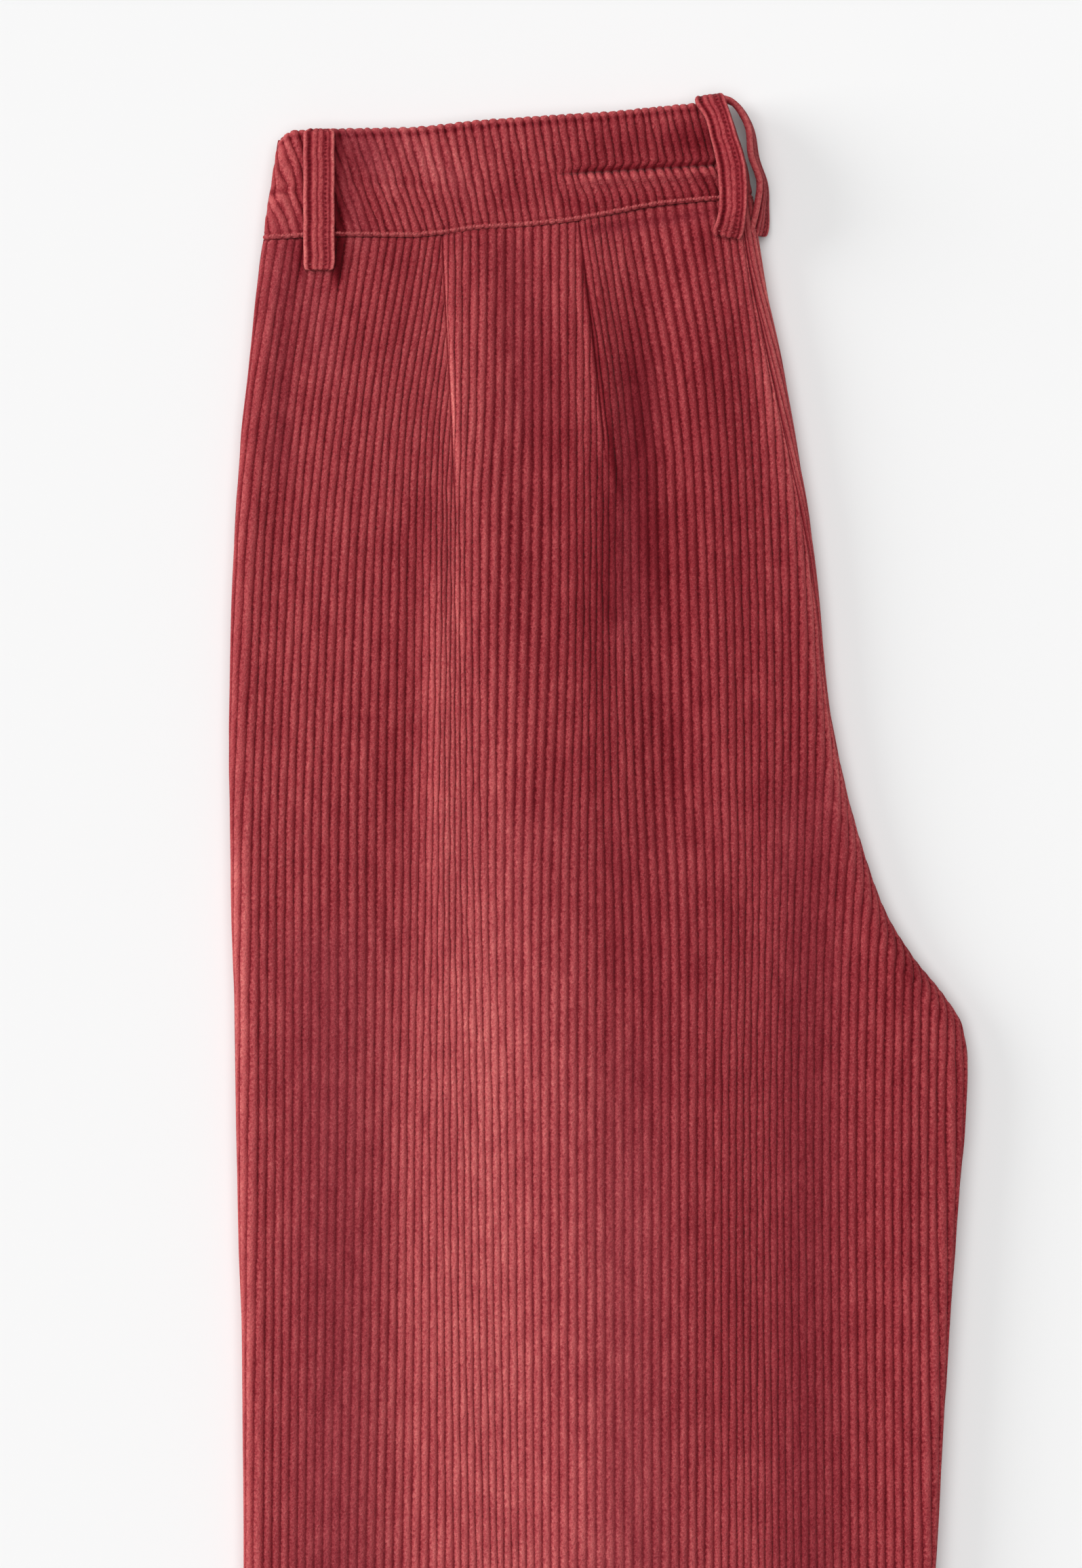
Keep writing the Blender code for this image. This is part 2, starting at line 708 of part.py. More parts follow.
def main():
    for old in list(bpy.data.objects):
        bpy.data.objects.remove(old)
    legs = [leg_row(down) for down in ROWS]
    band = [band_row(share) for share in BAND_ROWS]
    make_top_layer("back_left", legs)
    make_bottom_layer("back_right", legs)
    make_hidden_layers("front_panels", legs)
    make_top_layer("waistband_back_left", band[::-1])
    make_bottom_layer("waistband_back_right", band[::-1])
    make_hidden_layers("waistband_fronts", band[::-1])
    make_side_loops()
    make_centre_left_loop()
    make_centre_right_loop()


main()
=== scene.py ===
# %% [markdown]
# # Corduroy trousers, folded in half
# These are wide trousers in a coarse red corduroy, folded down the middle with the seat outwards
# and laid flat. The model is cloth from end to end: eight panels and bands, four belt loops, and
# the thread that holds them. Each piece starts as a flat slab of cloth, cut with Blender's bmesh
# operators, and is then laid in its place: every vertex knows which wale it lies on and how far
# down the leg it is. Wales are the ribs of the pile, which run the length of the cloth.

# %% Load the frame
import json
import math
from types import SimpleNamespace

import bmesh
import bpy
import numpy as np
from mathutils import Matrix, Vector
from mathutils.bvhtree import BVHTree

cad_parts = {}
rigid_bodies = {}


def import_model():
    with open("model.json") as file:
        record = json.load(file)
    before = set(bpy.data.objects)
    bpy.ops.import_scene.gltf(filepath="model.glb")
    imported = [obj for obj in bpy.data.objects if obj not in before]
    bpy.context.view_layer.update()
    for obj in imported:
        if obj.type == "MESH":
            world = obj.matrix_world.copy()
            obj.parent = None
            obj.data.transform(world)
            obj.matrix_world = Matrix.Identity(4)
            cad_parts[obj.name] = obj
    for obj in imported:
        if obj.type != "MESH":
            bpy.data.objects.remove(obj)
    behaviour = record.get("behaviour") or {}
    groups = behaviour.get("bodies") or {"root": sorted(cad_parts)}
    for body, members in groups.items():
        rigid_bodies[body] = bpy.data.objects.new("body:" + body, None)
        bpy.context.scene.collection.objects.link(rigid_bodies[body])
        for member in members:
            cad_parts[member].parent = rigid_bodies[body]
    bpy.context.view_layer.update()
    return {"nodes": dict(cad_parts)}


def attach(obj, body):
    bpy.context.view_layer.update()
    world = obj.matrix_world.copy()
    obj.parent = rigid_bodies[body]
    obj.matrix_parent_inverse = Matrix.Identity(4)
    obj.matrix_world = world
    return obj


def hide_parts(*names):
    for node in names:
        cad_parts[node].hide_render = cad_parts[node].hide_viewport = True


for old in list(bpy.data.objects):
    bpy.data.objects.remove(old)
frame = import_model()
MM = 0.001
print("solids:", ", ".join(sorted(frame["nodes"])))

# %% [markdown]
# ## Sizes
# The same named sizes that shape the solids shape the cloth here, so that each piece stays
# where its solid is. Millimetres are used until a vertex is written.

# %% Sizes
CLOTH = 2.0
WALE_PITCH = 3.22
WALE_HEIGHT = 0.8
GAP = 0.3
HEM_THICKNESS = 2.8
HEM_DEPTH = 32.0
BAND_CLOTH = 2.2
HEIGHT = 15.0
BAND_TOP = 15.8
SIDE_ROUND = 7.0
SEAT_ROUND = 9.0
SEAM_TURN = 28.0
WAIST_SEAM_Y = 470.0
BACK_LENGTH = 990.0
CROTCH = 310.0
CROTCH_ROUND = 18.0
SEAM_LEVEL = 60.0
SEAM_UNDER = 230.0
SEAM_GAP = 0.06
SLANT_FADES = 140.0
LOOP_WIDTH = 12.0
LOOP_CLOTH = 2.4
LOOP_BELOW_SEAM = 13.5
SIDE_LOOP_X = -107.0
LIFT = LOOP_CLOTH + GAP
LIFT_LEVEL = 2.0
LIFT_FADES = 30.0
print(f"{CLOTH} mm cloth in a stack {HEIGHT} mm high, with backs {BACK_LENGTH} mm long")

# %% [markdown]
# ## The outline
# The side edge is nearly straight, and the seat edge swings out to the crotch and back in. Rows
# hold both, closer together where they bend. The waist isn't level: both its seam and its top
# edge rise towards the middle of the back.

# %% Outline
OUTLINE = (
    # y, side edge x, seat edge x
    (520.0, -121.6, 47.0),
    (505.0, -123.0, 52.8),
    (495.0, -124.5, 57.0),
    (480.0, -127.0, 59.8),
    (465.0, -129.2, 61.8),
    (448.0, -131.4, 64.6),
    (417.0, -134.5, 71.2),
    (385.0, -137.9, 76.8),
    (354.0, -140.0, 82.0),
    (323.0, -141.3, 85.5),
    (292.0, -141.9, 88.2),
    (261.0, -142.1, 94.0),
    (230.0, -141.7, 102.4),
    (208.0, -141.2, 110.4),
    (190.0, -140.6, 121.3),
    (175.0, -140.2, 133.2),
    (163.0, -140.0, 140.3),
    (150.0, -139.8, 142.1),
    (130.0, -139.5, 141.4),
    (105.0, -139.0, 139.3),
    (43.0, -137.4, 134.8),
    (-44.0, -136.4, 129.9),
    (-200.0, -135.4, 122.6),
    (-360.0, -134.0, 115.4),
    (-520.0, -132.5, 108.4),
)

WAIST_LEFT = -128.0
WAIST_RIGHT = 58.0
WAIST = (
    # x, top edge y, waist seam y
    (-130.0, 502.5, 465.5),
    (-122.4, 503.6, 465.8),
    (-120.0, 506.0, 465.9),
    (-117.0, 507.0, 466.1),
    (-99.0, 507.8, 466.7),
    (-73.0, 508.3, 466.4),
    (-60.0, 509.4, 467.4),
    (-47.0, 510.9, 469.3),
    (-30.0, 512.0, 470.4),
    (-13.0, 513.2, 472.0),
    (4.0, 514.3, 474.9),
    (21.0, 516.0, 478.1),
    (39.0, 517.6, 480.0),
    (60.0, 518.2, 481.5),
)

# %% [markdown]
# ## The darts
# Each back has two darts, which take in the waist. A dart swallows the wales beside it, so those
# on either side drift towards it, more the nearer they are to the waist.

# %% Darts
DRIFT = (
    # below the waist seam, drift of the side half, drift of the seat half
    (0.0, 19.4, 15.6),
    (30.0, 14.9, 11.2),
    (58.0, 10.8, 7.0),
    (74.0, 8.8, 5.4),
    (95.0, 6.5, 3.9),
    (121.0, 4.4, 2.7),
    (147.0, 3.1, 1.9),
    (199.0, 1.5, 0.7),
    (251.0, 0.6, 0.0),
    (381.0, 0.0, 0.0),
)
DRIFT_REACH = 45.0
DARTS = (
    # x at the seam, x at the point, length
    (-61.0, -55.6, 100.0),
    (-8.6, 4.9, 92.0),
)
print(f"{len(OUTLINE)} rows of outline, {len(DARTS)} darts")

# %% [markdown]
# ## Curves through the tables
# A table gives a few measured places, and the cloth needs all those between. A monotone cubic
# goes through every row without swinging past it. A path in space, such as a belt loop's, goes
# through its points on a Catmull-Rom curve.

# %% Curves
def ramp(t):
    """Rises smoothly from 0 to 1 as t does."""
    t = np.clip(t, 0.0, 1.0)
    return t * t * (3.0 - 2.0 * t)


def mix(a, b, t):
    return a + (b - a) * t


def bell(aside, width):
    """1 in the middle, and soft flanks that fade past the width."""
    return np.exp(-((aside / width) ** 2))


def curve_through(rows, column):
    """A smooth function of the table's first column."""
    points = np.array(sorted((row[0], row[column]) for row in rows))
    xs, ys = points.T
    steps = np.diff(xs)
    slopes = np.diff(ys) / steps
    before, after = slopes[:-1], slopes[1:]
    product = before * after
    total = np.where(product > 0.0, before + after, 1.0)
    inner = np.where(product > 0.0, 2.0 * product / total, 0.0)
    tangents = np.concatenate([slopes[:1], inner, slopes[-1:]])

    def value(x):
        x = np.clip(x, xs[0], xs[-1])
        i = np.clip(np.searchsorted(xs, x, side="right") - 1, 0, len(steps) - 1)
        t = (x - xs[i]) / steps[i]
        rise = ys[i + 1] - ys[i]
        bend_in = (tangents[i] * steps[i] - rise) * (1.0 - t)
        bend_out = (rise - tangents[i + 1] * steps[i]) * t
        return mix(ys[i], ys[i + 1], t) + t * (1.0 - t) * (bend_in + bend_out)

    return value


def catmull_rom(stations, v):
    """The four nearest stations to v and the weight of each."""
    v = np.clip(v, stations[0], stations[-1])
    i = np.clip(np.searchsorted(stations, v, side="right") - 1, 0, len(stations) - 2)
    t = (v - stations[i]) / (stations[i + 1] - stations[i])
    last = len(stations) - 1
    places = [np.clip(i + step, 0, last) for step in (-1, 0, 1, 2)]
    weights = (
        0.5 * (-t + 2.0 * t**2 - t**3),
        0.5 * (2.0 - 5.0 * t**2 + 3.0 * t**3),
        0.5 * (t + 4.0 * t**2 - 3.0 * t**3),
        0.5 * (-(t**2) + t**3),
    )
    return places, weights


# %% The garment's own curves
side_edge = curve_through(OUTLINE, 1)
seat_edge = curve_through(OUTLINE, 2)
waist_top = curve_through(WAIST, 1)
waist_seam = curve_through(WAIST, 2)
side_drift = curve_through(DRIFT, 1)
seat_drift = curve_through(DRIFT, 2)
print(f"folded width at the crotch: {float(seat_edge(150.0) - side_edge(150.0)):.0f} mm")

# %% [markdown]
# ## The folds
# Soft cloth never lies quite level. A fold here is a line with a width and a rise: a long roll
# goes down the leg, troughs lie beside it, and smaller hollows and swells come from the darts and
# the seat. They differ in length, depth and spacing, as they do on real cloth that someone has
# smoothed with a hand. A soft bell across the line and a fade past its ends give each its form.

# %% Folds
FOLDS = (
    # x0, y0, x1, y1, half width, rise
    (-37.0, 300.0, 2.0, -20.0, 26.0, 2.2),
    (2.0, -20.0, -4.0, -470.0, 28.0, 2.0),
    (-79.0, 275.0, -74.0, -60.0, 15.0, -1.5),
    (-74.0, -60.0, -70.0, -440.0, 16.0, -1.3),
    (92.0, 170.0, 101.0, -60.0, 17.0, -1.7),
    (101.0, -60.0, 84.0, -430.0, 16.0, -1.2),
    (21.0, 432.0, 27.0, 262.0, 12.0, -2.0),
    (-46.0, 440.0, -44.0, 335.0, 12.0, 1.2),
    (-111.0, 455.0, -124.0, 345.0, 11.0, -1.0),
    (112.0, 186.0, 114.0, 90.0, 12.0, 1.0),
)
SMALL_FOLDS = (
    # x0, y0, x1, y1, half width, rise
    (-62.0, 355.0, -61.0, 210.0, 4.5, 0.7),
    (-70.0, 330.0, -68.0, 180.0, 5.0, -0.5),
    (62.0, 330.0, 66.0, 230.0, 7.0, 0.5),
    (56.0, 300.0, 60.0, 60.0, 6.0, -0.5),
    (-112.0, 250.0, -110.0, 30.0, 8.0, 0.4),
    (40.0, 250.0, 44.0, -40.0, 8.0, -0.4),
    (119.0, 130.0, 116.0, -30.0, 6.0, 0.4),
    (-30.0, 420.0, -24.0, 330.0, 6.0, -0.4),
    (-100.0, 455.0, -96.0, 420.0, 7.0, -0.5),
    (40.0, 460.0, 44.0, 400.0, 8.0, 0.4),
    (9.0, 425.0, 12.0, 345.0, 5.0, -0.6),
)
FOLD_EDGE = 16.0
FOLD_END = 35.0
SMALL_FOLD_END = 18.0


def bells(x, y, table, fade):
    """The rise of a table's folds at each point."""
    total = np.zeros(np.broadcast(x, y).shape)
    for x0, y0, x1, y1, width, rise in table:
        run_x, run_y = x1 - x0, y1 - y0
        length = math.hypot(run_x, run_y)
        along = ((x - x0) * run_x + (y - y0) * run_y) / length
        aside = ((x - x0) * run_y - (y - y0) * run_x) / length
        beyond = np.maximum(0.0, np.maximum(-along, along - length))
        total = total + rise * np.exp(-((aside / width) ** 2) - (beyond / fade) ** 2)
    return total


print(f"{len(FOLDS)} large folds and {len(SMALL_FOLDS)} small ones")


# %% [markdown]
# ## Sections
# Folded trousers are two flattened tubes on top of each other, so a section through them has
# flat parts and rounded edges. A panel lies on half of such a tube. It runs across the flat and
# turns round a quarter of an ellipse at each edge, where a seam joins it to the next.

# %% Sections
def leg_y(x, down):
    """The height up the garment of a point so far below the waist seam."""
    slant = (waist_seam(x) - WAIST_SEAM_Y) * (1.0 - ramp(down / SLANT_FADES))
    return WAIST_SEAM_Y - down + slant


def leg_section(down):
    """The section of the folded legs, this far below the waist seam."""
    together = 1.0 - ramp((down - CROTCH) / CROTCH_ROUND)
    low = LIFT * (1.0 - ramp((down - LOOP_BELOW_SEAM - LIFT_LEVEL) / LIFT_FADES))
    quarter = (HEIGHT - low) / 4.0
    slip = np.clip((down - SEAM_LEVEL) / (SEAM_UNDER - SEAM_LEVEL), 0.0, 1.0)
    hem = ramp((down - (BACK_LENGTH - HEM_DEPTH)) / 2.0)
    return SimpleNamespace(
        side=side_edge(leg_y(WAIST_LEFT, down)) + WALE_HEIGHT,
        seat=seat_edge(leg_y(WAIST_RIGHT, down)) - WALE_HEIGHT,
        seat_round=mix(SIDE_ROUND, SEAT_ROUND, together),
        side_half=quarter - WALE_HEIGHT,
        seat_half=quarter * (1.0 + together) - WALE_HEIGHT,
        low=low,
        high=np.full_like(down, HEIGHT),
        seam=mix(SEAM_TURN, 90.0, slip),
        wall=mix(CLOTH, HEM_THICKNESS, hem) - WALE_HEIGHT,
        together=together,
        y=lambda x: leg_y(x, down),
    )


# %% Section of the waistband
def band_section(share):
    """The section of the folded waistband, from 0 at its seam to 1 at its top edge."""

    def y(x):
        return mix(waist_seam(x) + GAP, waist_top(x), share)

    quarter = (BAND_TOP - LIFT) / 4.0
    ones = np.ones_like(share)
    return SimpleNamespace(
        side=side_edge(y(WAIST_LEFT)) + WALE_HEIGHT,
        seat=seat_edge(y(WAIST_RIGHT)) - WALE_HEIGHT,
        seat_round=SEAT_ROUND * ones,
        side_half=(quarter - WALE_HEIGHT) * ones,
        seat_half=(2.0 * quarter - WALE_HEIGHT) * ones,
        low=LIFT * ones,
        high=BAND_TOP * ones,
        seam=SEAM_TURN * ones,
        wall=(BAND_CLOTH - WALE_HEIGHT) * ones,
        together=ones,
        y=y,
    )


# %% [markdown]
# ## Along a section
# A place on the cloth is measured along it, round the turns, as a tape would lie. The turn at
# each edge is a quarter of an ellipse, whose length has a short formula that is close enough.

# %% Along a section
def quarter_arc(a, b):
    """The length of a quarter of an ellipse with these half axes."""
    return math.pi / 4.0 * (3.0 * (a + b) - np.sqrt((3.0 * a + b) * (a + 3.0 * b)))


def flat_part(row):
    """Where a section's flat starts and ends, and how long its two turns are."""
    side_arc = quarter_arc(SIDE_ROUND, row.side_half)
    seat_arc = quarter_arc(row.seat_round, row.seat_half)
    return row.side + SIDE_ROUND, row.seat - row.seat_round, side_arc, seat_arc


def reach(row, seam):
    """How far a panel runs across, along the cloth, from the side seam to its other seam."""
    start, end, side_arc, seat_arc = flat_part(row)
    return start - side_arc, end + seat_arc * seam / 90.0


def on_section(row, u, out):
    """Points u across the cloth, moved out of its ground: x, ground x, drop below the flat."""
    start, end, side_arc, seat_arc = flat_part(row)
    angle = (start - u) / side_arc * math.pi / 2.0
    side_x = start - (SIDE_ROUND + out) * np.sin(angle)
    side_ground = start - SIDE_ROUND * np.sin(angle)
    side_drop = row.side_half - (row.side_half + out) * np.cos(angle)
    angle = (u - end) / seat_arc * math.pi / 2.0
    seat_x = end + (row.seat_round + out) * np.sin(angle)
    seat_ground = end + row.seat_round * np.sin(angle)
    seat_drop = row.seat_half - (row.seat_half + out) * np.cos(angle)
    at_side, at_seat = u < start, u > end
    x = np.where(at_side, side_x, np.where(at_seat, seat_x, u))
    ground = np.where(at_side, side_ground, np.where(at_seat, seat_ground, u))
    drop = np.where(at_side, side_drop, np.where(at_seat, seat_drop, -out))
    return x, ground, drop


print(f"a turn at the side is {quarter_arc(SIDE_ROUND, HEIGHT / 4.0):.1f} mm long")


# %% [markdown]
# ## Where the wales run
# A dart is a wedge of cloth that is pinched and sewn, so the wales beside it lean in and vanish
# into its seam. Away from the darts the wales hang straight, but a hand that smooths the cloth
# gathers them here and spreads them there. The table gives how far they lie off their even
# spacing. At an edge the wales crowd together and end one by one, as they are cut there.

# %% Gathers
PULL = (
    # y, drift of the side part, drift of the seat part
    (450.0, 3.0, 2.0),
    (330.0, 2.8, 1.8),
    (240.0, 1.6, 0.2),
    (120.0, 1.2, -1.8),
    (-60.0, 0.2, -0.8),
)
PULL_SIDE = -45.0
PULL_SEAT = 35.0
PULL_REACH = 45.0
GATHERS = (
    # a gather is a few rows of: y, x of its middle, half width, how far it draws the wales in
    (
        (450.0, -60.0, 12.0, 0.9),
        (400.0, -57.0, 12.0, 1.8),
        (360.0, -56.0, 13.0, 3.6),
        (240.0, -56.0, 20.0, 3.9),
        (110.0, -52.0, 28.0, 2.8),
        (-60.0, -38.0, 22.0, 2.3),
    ),
    ((450.0, 0.0, 14.0, 1.2), (340.0, 0.0, 14.0, 1.8), (220.0, 0.0, 14.0, 0.0)),
    ((450.0, 29.0, 14.0, -1.6), (300.0, 29.0, 15.0, -1.6), (150.0, 30.0, 16.0, 0.0)),
    ((260.0, 62.0, 16.0, 0.6), (180.0, 65.0, 26.0, 2.6), (-60.0, 66.0, 28.0, 2.3)),
)
side_pull = curve_through(PULL, 1)
seat_pull = curve_through(PULL, 2)
gathers = [[curve_through(rows, column) for column in (1, 2, 3)] for rows in GATHERS]
print(f"{len(GATHERS)} gathers")

# %% Wales
def gathered(x, y):
    """How far the hand has moved the wales at each point."""
    moved = side_pull(y) * ramp((PULL_SIDE - x) / PULL_REACH)
    moved = moved + seat_pull(y) * ramp((x - PULL_SEAT) / PULL_REACH)
    for middle, width, draw in gathers:
        aside = (x - middle(y)) / width(y)
        moved = moved - draw(y) * aside * np.exp(0.5 - aside**2 / 2.0)
    return moved


def dart_line(dart, down):
    """Where a dart's line lies on the cloth before it is gathered."""
    at_seam, at_point, length = dart
    return mix(at_seam, at_point, np.minimum(1.0, down / length))


def dart_at(dart, down):
    """Where a dart's line ends up, once the cloth has been gathered."""
    line = dart_line(dart, down)
    return line + gathered(line, leg_y(line, down))


def wale_across(wale_x, down):
    """Where a wale lies across a row: the darts swallow those beside them, one by one."""
    line, seat_line = (dart_line(dart, down) for dart in DARTS)
    open_side, open_seat = (1.0 - np.minimum(1.0, down / dart[2]) ** 2 for dart in DARTS)
    side_takes = side_drift(down) * open_side
    seat_takes = seat_drift(down) * open_seat
    left = wale_x + side_takes
    left = left + (side_drift(down) - side_takes) * ramp((line - left) / DRIFT_REACH)
    right = wale_x - seat_takes
    right = right - (seat_drift(down) - seat_takes) * ramp((right - seat_line) / DRIFT_REACH)
    u = np.where(right < seat_line, seat_line, right)
    u = np.where(wale_x < seat_line, wale_x, u)
    u = np.where(wale_x < line, line, u)
    return np.where(left < line, left, u)


# %% Crowding and wavering
SEAT_CROWD = 1.5
SIDE_CROWD = 1.2
NARROWEST = 0.45
WOBBLE = 0.18
WOBBLE_LONG = 7.3
WOBBLE_SHORT = 3.1
WOBBLE_PHASE = 2.4


def crowd(room, softness):
    """Keeps a wale's edge short of a seam, and lets it vanish there when it has no room left."""
    crowded = softness * np.logaddexp(0.0, room / softness)
    return np.where(crowded > NARROWEST, crowded, 0.0)


def wobble(wale, y):
    """The small waver of one valley, from two waves whose phase differs from one to the next."""
    phase = wale * WOBBLE_PHASE
    long_wave = np.sin(y / WOBBLE_LONG + phase)
    return WOBBLE * (long_wave + 0.6 * np.sin(y / WOBBLE_SHORT + 1.7 * phase))


# %% [markdown]
# ## A slab of cloth
# Every panel is cut the same way. A grid is drawn with one column for each wale, extruded into a
# slab, and the face of the slab is then subdivided, so that six columns draw the round of each
# wale while the inside stays plain. Subdividing one side only keeps the slab closed, because the
# rim's faces take up the extra edge points.

# %% Slab
def cut_slab(side_wales, seat_wales, rows, cuts):
    """A closed slab: x is the wale, y the row, z is 0 on the face and -1 on the inside."""
    bm = bmesh.new()
    wales = side_wales + seat_wales
    bmesh.ops.create_grid(bm, x_segments=wales, y_segments=rows, size=0.5)
    bmesh.ops.scale(bm, vec=(wales, rows, 1.0), verts=bm.verts)
    middle = ((seat_wales - side_wales) / 2.0, rows / 2.0, 0.0)
    bmesh.ops.translate(bm, vec=middle, verts=bm.verts)
    face = list(bm.faces)
    extruded = bmesh.ops.extrude_face_region(bm, geom=face, use_keep_orig=True)
    inside = [part for part in extruded["geom"] if isinstance(part, bmesh.types.BMVert)]
    bmesh.ops.translate(bm, vec=(0.0, 0.0, -1.0), verts=inside)
    if cuts:
        edges = {edge for part in face for edge in part.edges}
        bmesh.ops.subdivide_edges(bm, edges=list(edges), cuts=cuts, use_grid_fill=True)
    bmesh.ops.recalc_face_normals(bm, faces=bm.faces)
    return bm


def coordinates(bm):
    """Every vertex's wale, row and layer."""
    found = np.array([vertex.co[:] for vertex in bm.verts])
    return found[:, 0], found[:, 1], found[:, 2] < -0.5


# %% [markdown]
# ## The round of a rib
# The pile of each wale is about as wide wherever it runs. Where the cloth is spread, the ground
# shows between two wales, and where it is squeezed, they close up. So the columns of a wale
# aren't spread evenly: the first is the valley, and the others draw the rib in its own width.

# %% Ribs
RIB_WIDTH = 2.95
RIB_TIGHT = 0.97
NARROW_RIB = 1.5
RIBS = {
    # columns in a wale: (places across the rib, places across the pattern, heights)
    6: ((0.0, -1.0, -0.58, 0.0, 0.58, 1.0), (0.0, 0.14, 0.3, 0.5, 0.7, 0.86),
        (-0.20, 0.18, 0.84, 1.0, 0.84, 0.18)),
    4: ((0.0, -0.8, 0.0, 0.8), (0.0, 0.2, 0.5, 0.8), (-0.15, 0.60, 1.0, 0.60)),
    2: ((0.0, 0.0), (0.0, 0.5), (-0.1, 1.0)),
}


def ribbed(column, per_wale, valley_at):
    """The place of each column: across the pattern, across the cloth, and its height."""
    step = np.rint(column * per_wale).astype(int)
    wale, part = np.divmod(step, per_wale)
    places, shares, heights = (np.array(values)[part] for values in RIBS[per_wale])
    left, right = valley_at(wale), valley_at(wale + 1)
    pitch = right - left
    rib = np.minimum(RIB_WIDTH, pitch * RIB_TIGHT)
    u = np.where(part == 0, left, (left + right) / 2.0 + places * rib / 2.0)
    return wale + shares, u, heights * np.clip(pitch / NARROW_RIB, 0.0, 1.0)


print("a wale is drawn by", " or ".join(str(columns) for columns in RIBS), "columns")


# %% [markdown]
# ## From slab to cloth
# Laying a slab in place is one short loop: each vertex moves to its new place, which numpy has
# worked out. Columns that ran into a seam end up in one spot, so they are merged. The wale's
# number and the way along it are kept as a UV map, and three attributes follow the cloth into its
# material: how high the pile stands at each point, how the nap has been brushed together with the
# painted light and shade laid on it, and how flat it has been pressed.

# %% Lay
MERGE = 0.02


def as_object(name, bm):
    """Makes the bmesh an object that sits at the origin."""
    mesh = bpy.data.meshes.new(name)
    bm.to_mesh(mesh)
    bm.free()
    piece = bpy.data.objects.new(name, mesh)
    bpy.context.scene.collection.objects.link(piece)
    print(f"{name}: {sum(len(part.vertices) - 2 for part in mesh.polygons)} triangles")
    return piece


def lay(bm, name, points, wale, along, inside, **attributes):
    """Moves the slab's vertices to their points and makes the object."""
    uv = bm.loops.layers.uv.new("wales")
    for i, vertex in enumerate(bm.verts):
        vertex.co = points[i] * MM
    for kind, values in attributes.items():
        layer = bm.verts.layers.float.new(kind)
        for i, vertex in enumerate(bm.verts):
            vertex[layer] = values[i]
    bm.verts.index_update()
    for face in bm.faces:
        back = all(inside[loop.vert.index] for loop in face.loops)
        face.material_index = 1 if back else 0
        face.smooth = True
        for loop in face.loops:
            i = loop.vert.index
            loop[uv].uv = (wale[i], along[i] / WALE_PITCH)
    bmesh.ops.remove_doubles(bm, verts=bm.verts, dist=MERGE * MM)
    bmesh.ops.dissolve_degenerate(bm, edges=bm.edges, dist=MERGE * MM)
    bmesh.ops.recalc_face_normals(bm, faces=bm.faces)
    return as_object(name, bm)


# %% [markdown]
# ## The brushed nap and painted light
# Corduroy's pile leans, and wherever a hand or a fold has turned it, it catches the light
# differently. Each row is a soft stroke that leaves the nap paler or deeper. These strokes are
# painted light and shade: besides the brushed pile, they paint the shading of the folds, the
# hollow beside a dart and the shadows of the belt loops. The waistband has strokes of its own.
# Where the cloth has been leant on, the pile is pressed flat, so that the ribs lose height and the
# valleys pale. Strokes are quicker to place than a painted image, and they stay sharp at any
# distance.

# %% Nap and painted light
NAP_AND_PAINTED_LIGHT = (
    # x0, y0, x1, y1, half width, tone: painted light above 0, painted shade below 0
    (-138.0, 430.0, -140.0, 200.0, 3.5, 0.20),
    (-138.0, 200.0, -133.0, -520.0, 5.0, 0.55),
    (-119.0, 452.0, -123.0, 368.0, 5.0, -0.30),
    (-104.0, 160.0, -100.0, -500.0, 14.0, -0.18),
    (-68.0, 160.0, -62.0, -500.0, 16.0, 0.32),
    (-76.0, 462.0, -78.0, 440.0, 9.0, -0.30),
    (-70.0, 350.0, -78.0, 262.0, 8.0, -0.28),
    (-58.5, 438.0, -55.6, 395.0, 1.4, 0.66),
    (-54.2, 330.0, -53.6, 322.0, 1.7, 0.40),
    (-50.0, 430.0, -47.0, 330.0, 7.0, 0.20),
    (-62.0, 310.0, -58.0, 235.0, 9.0, 0.38),
    (-38.0, 270.0, -37.0, 235.0, 10.0, 0.34),
    (-44.0, 170.0, -35.0, 5.0, 15.0, 0.52),
    (-54.0, 60.0, -50.0, -40.0, 8.0, 0.18),
    (-30.0, -50.0, -32.0, -500.0, 24.0, 0.46),
    (-16.0, 180.0, -8.0, -10.0, 14.0, 0.28),
    (0.0, -50.0, -2.0, -500.0, 12.0, 0.18),
    (-40.0, 458.0, -24.0, 400.0, 15.0, -0.32),
    (-36.0, 415.0, -34.0, 400.0, 8.0, 0.22),
    (-20.0, 400.0, -14.0, 290.0, 10.0, -0.12),
    (2.0, 430.0, 2.0, 330.0, 6.0, -0.28),
    (15.0, 410.0, 19.0, 352.0, 8.5, -0.86),
    (20.0, 290.0, 20.0, 150.0, 8.0, -0.22),
    (-9.0, 360.0, -7.0, 325.0, 6.0, -0.22),
    (34.0, 400.0, 34.0, 300.0, 9.0, -0.28),
    (-2.0, 330.0, 6.0, 200.0, 9.0, -0.34),
    (34.0, 255.0, 48.0, 215.0, 9.0, -0.28),
    (50.0, 412.0, 62.0, 245.0, 12.0, -0.40),
    (75.0, 330.0, 80.0, 220.0, 6.0, -0.32),
    (60.0, 470.0, 64.0, 420.0, 5.0, 0.40),
    (66.0, 445.0, 77.0, 366.0, 4.5, 0.42),
    (83.0, 318.0, 95.0, 250.0, 4.5, 0.36),
    (44.0, 180.0, 52.0, 20.0, 16.0, -0.30),
    (78.0, 190.0, 80.0, -500.0, 15.0, -0.42),
    (104.0, 190.0, 98.0, -500.0, 12.0, -0.14),
    (118.0, 190.0, 114.0, -500.0, 8.0, -0.16),
    (137.0, 140.0, 134.0, 60.0, 5.0, -0.12),
)
NAP_END = 30.0
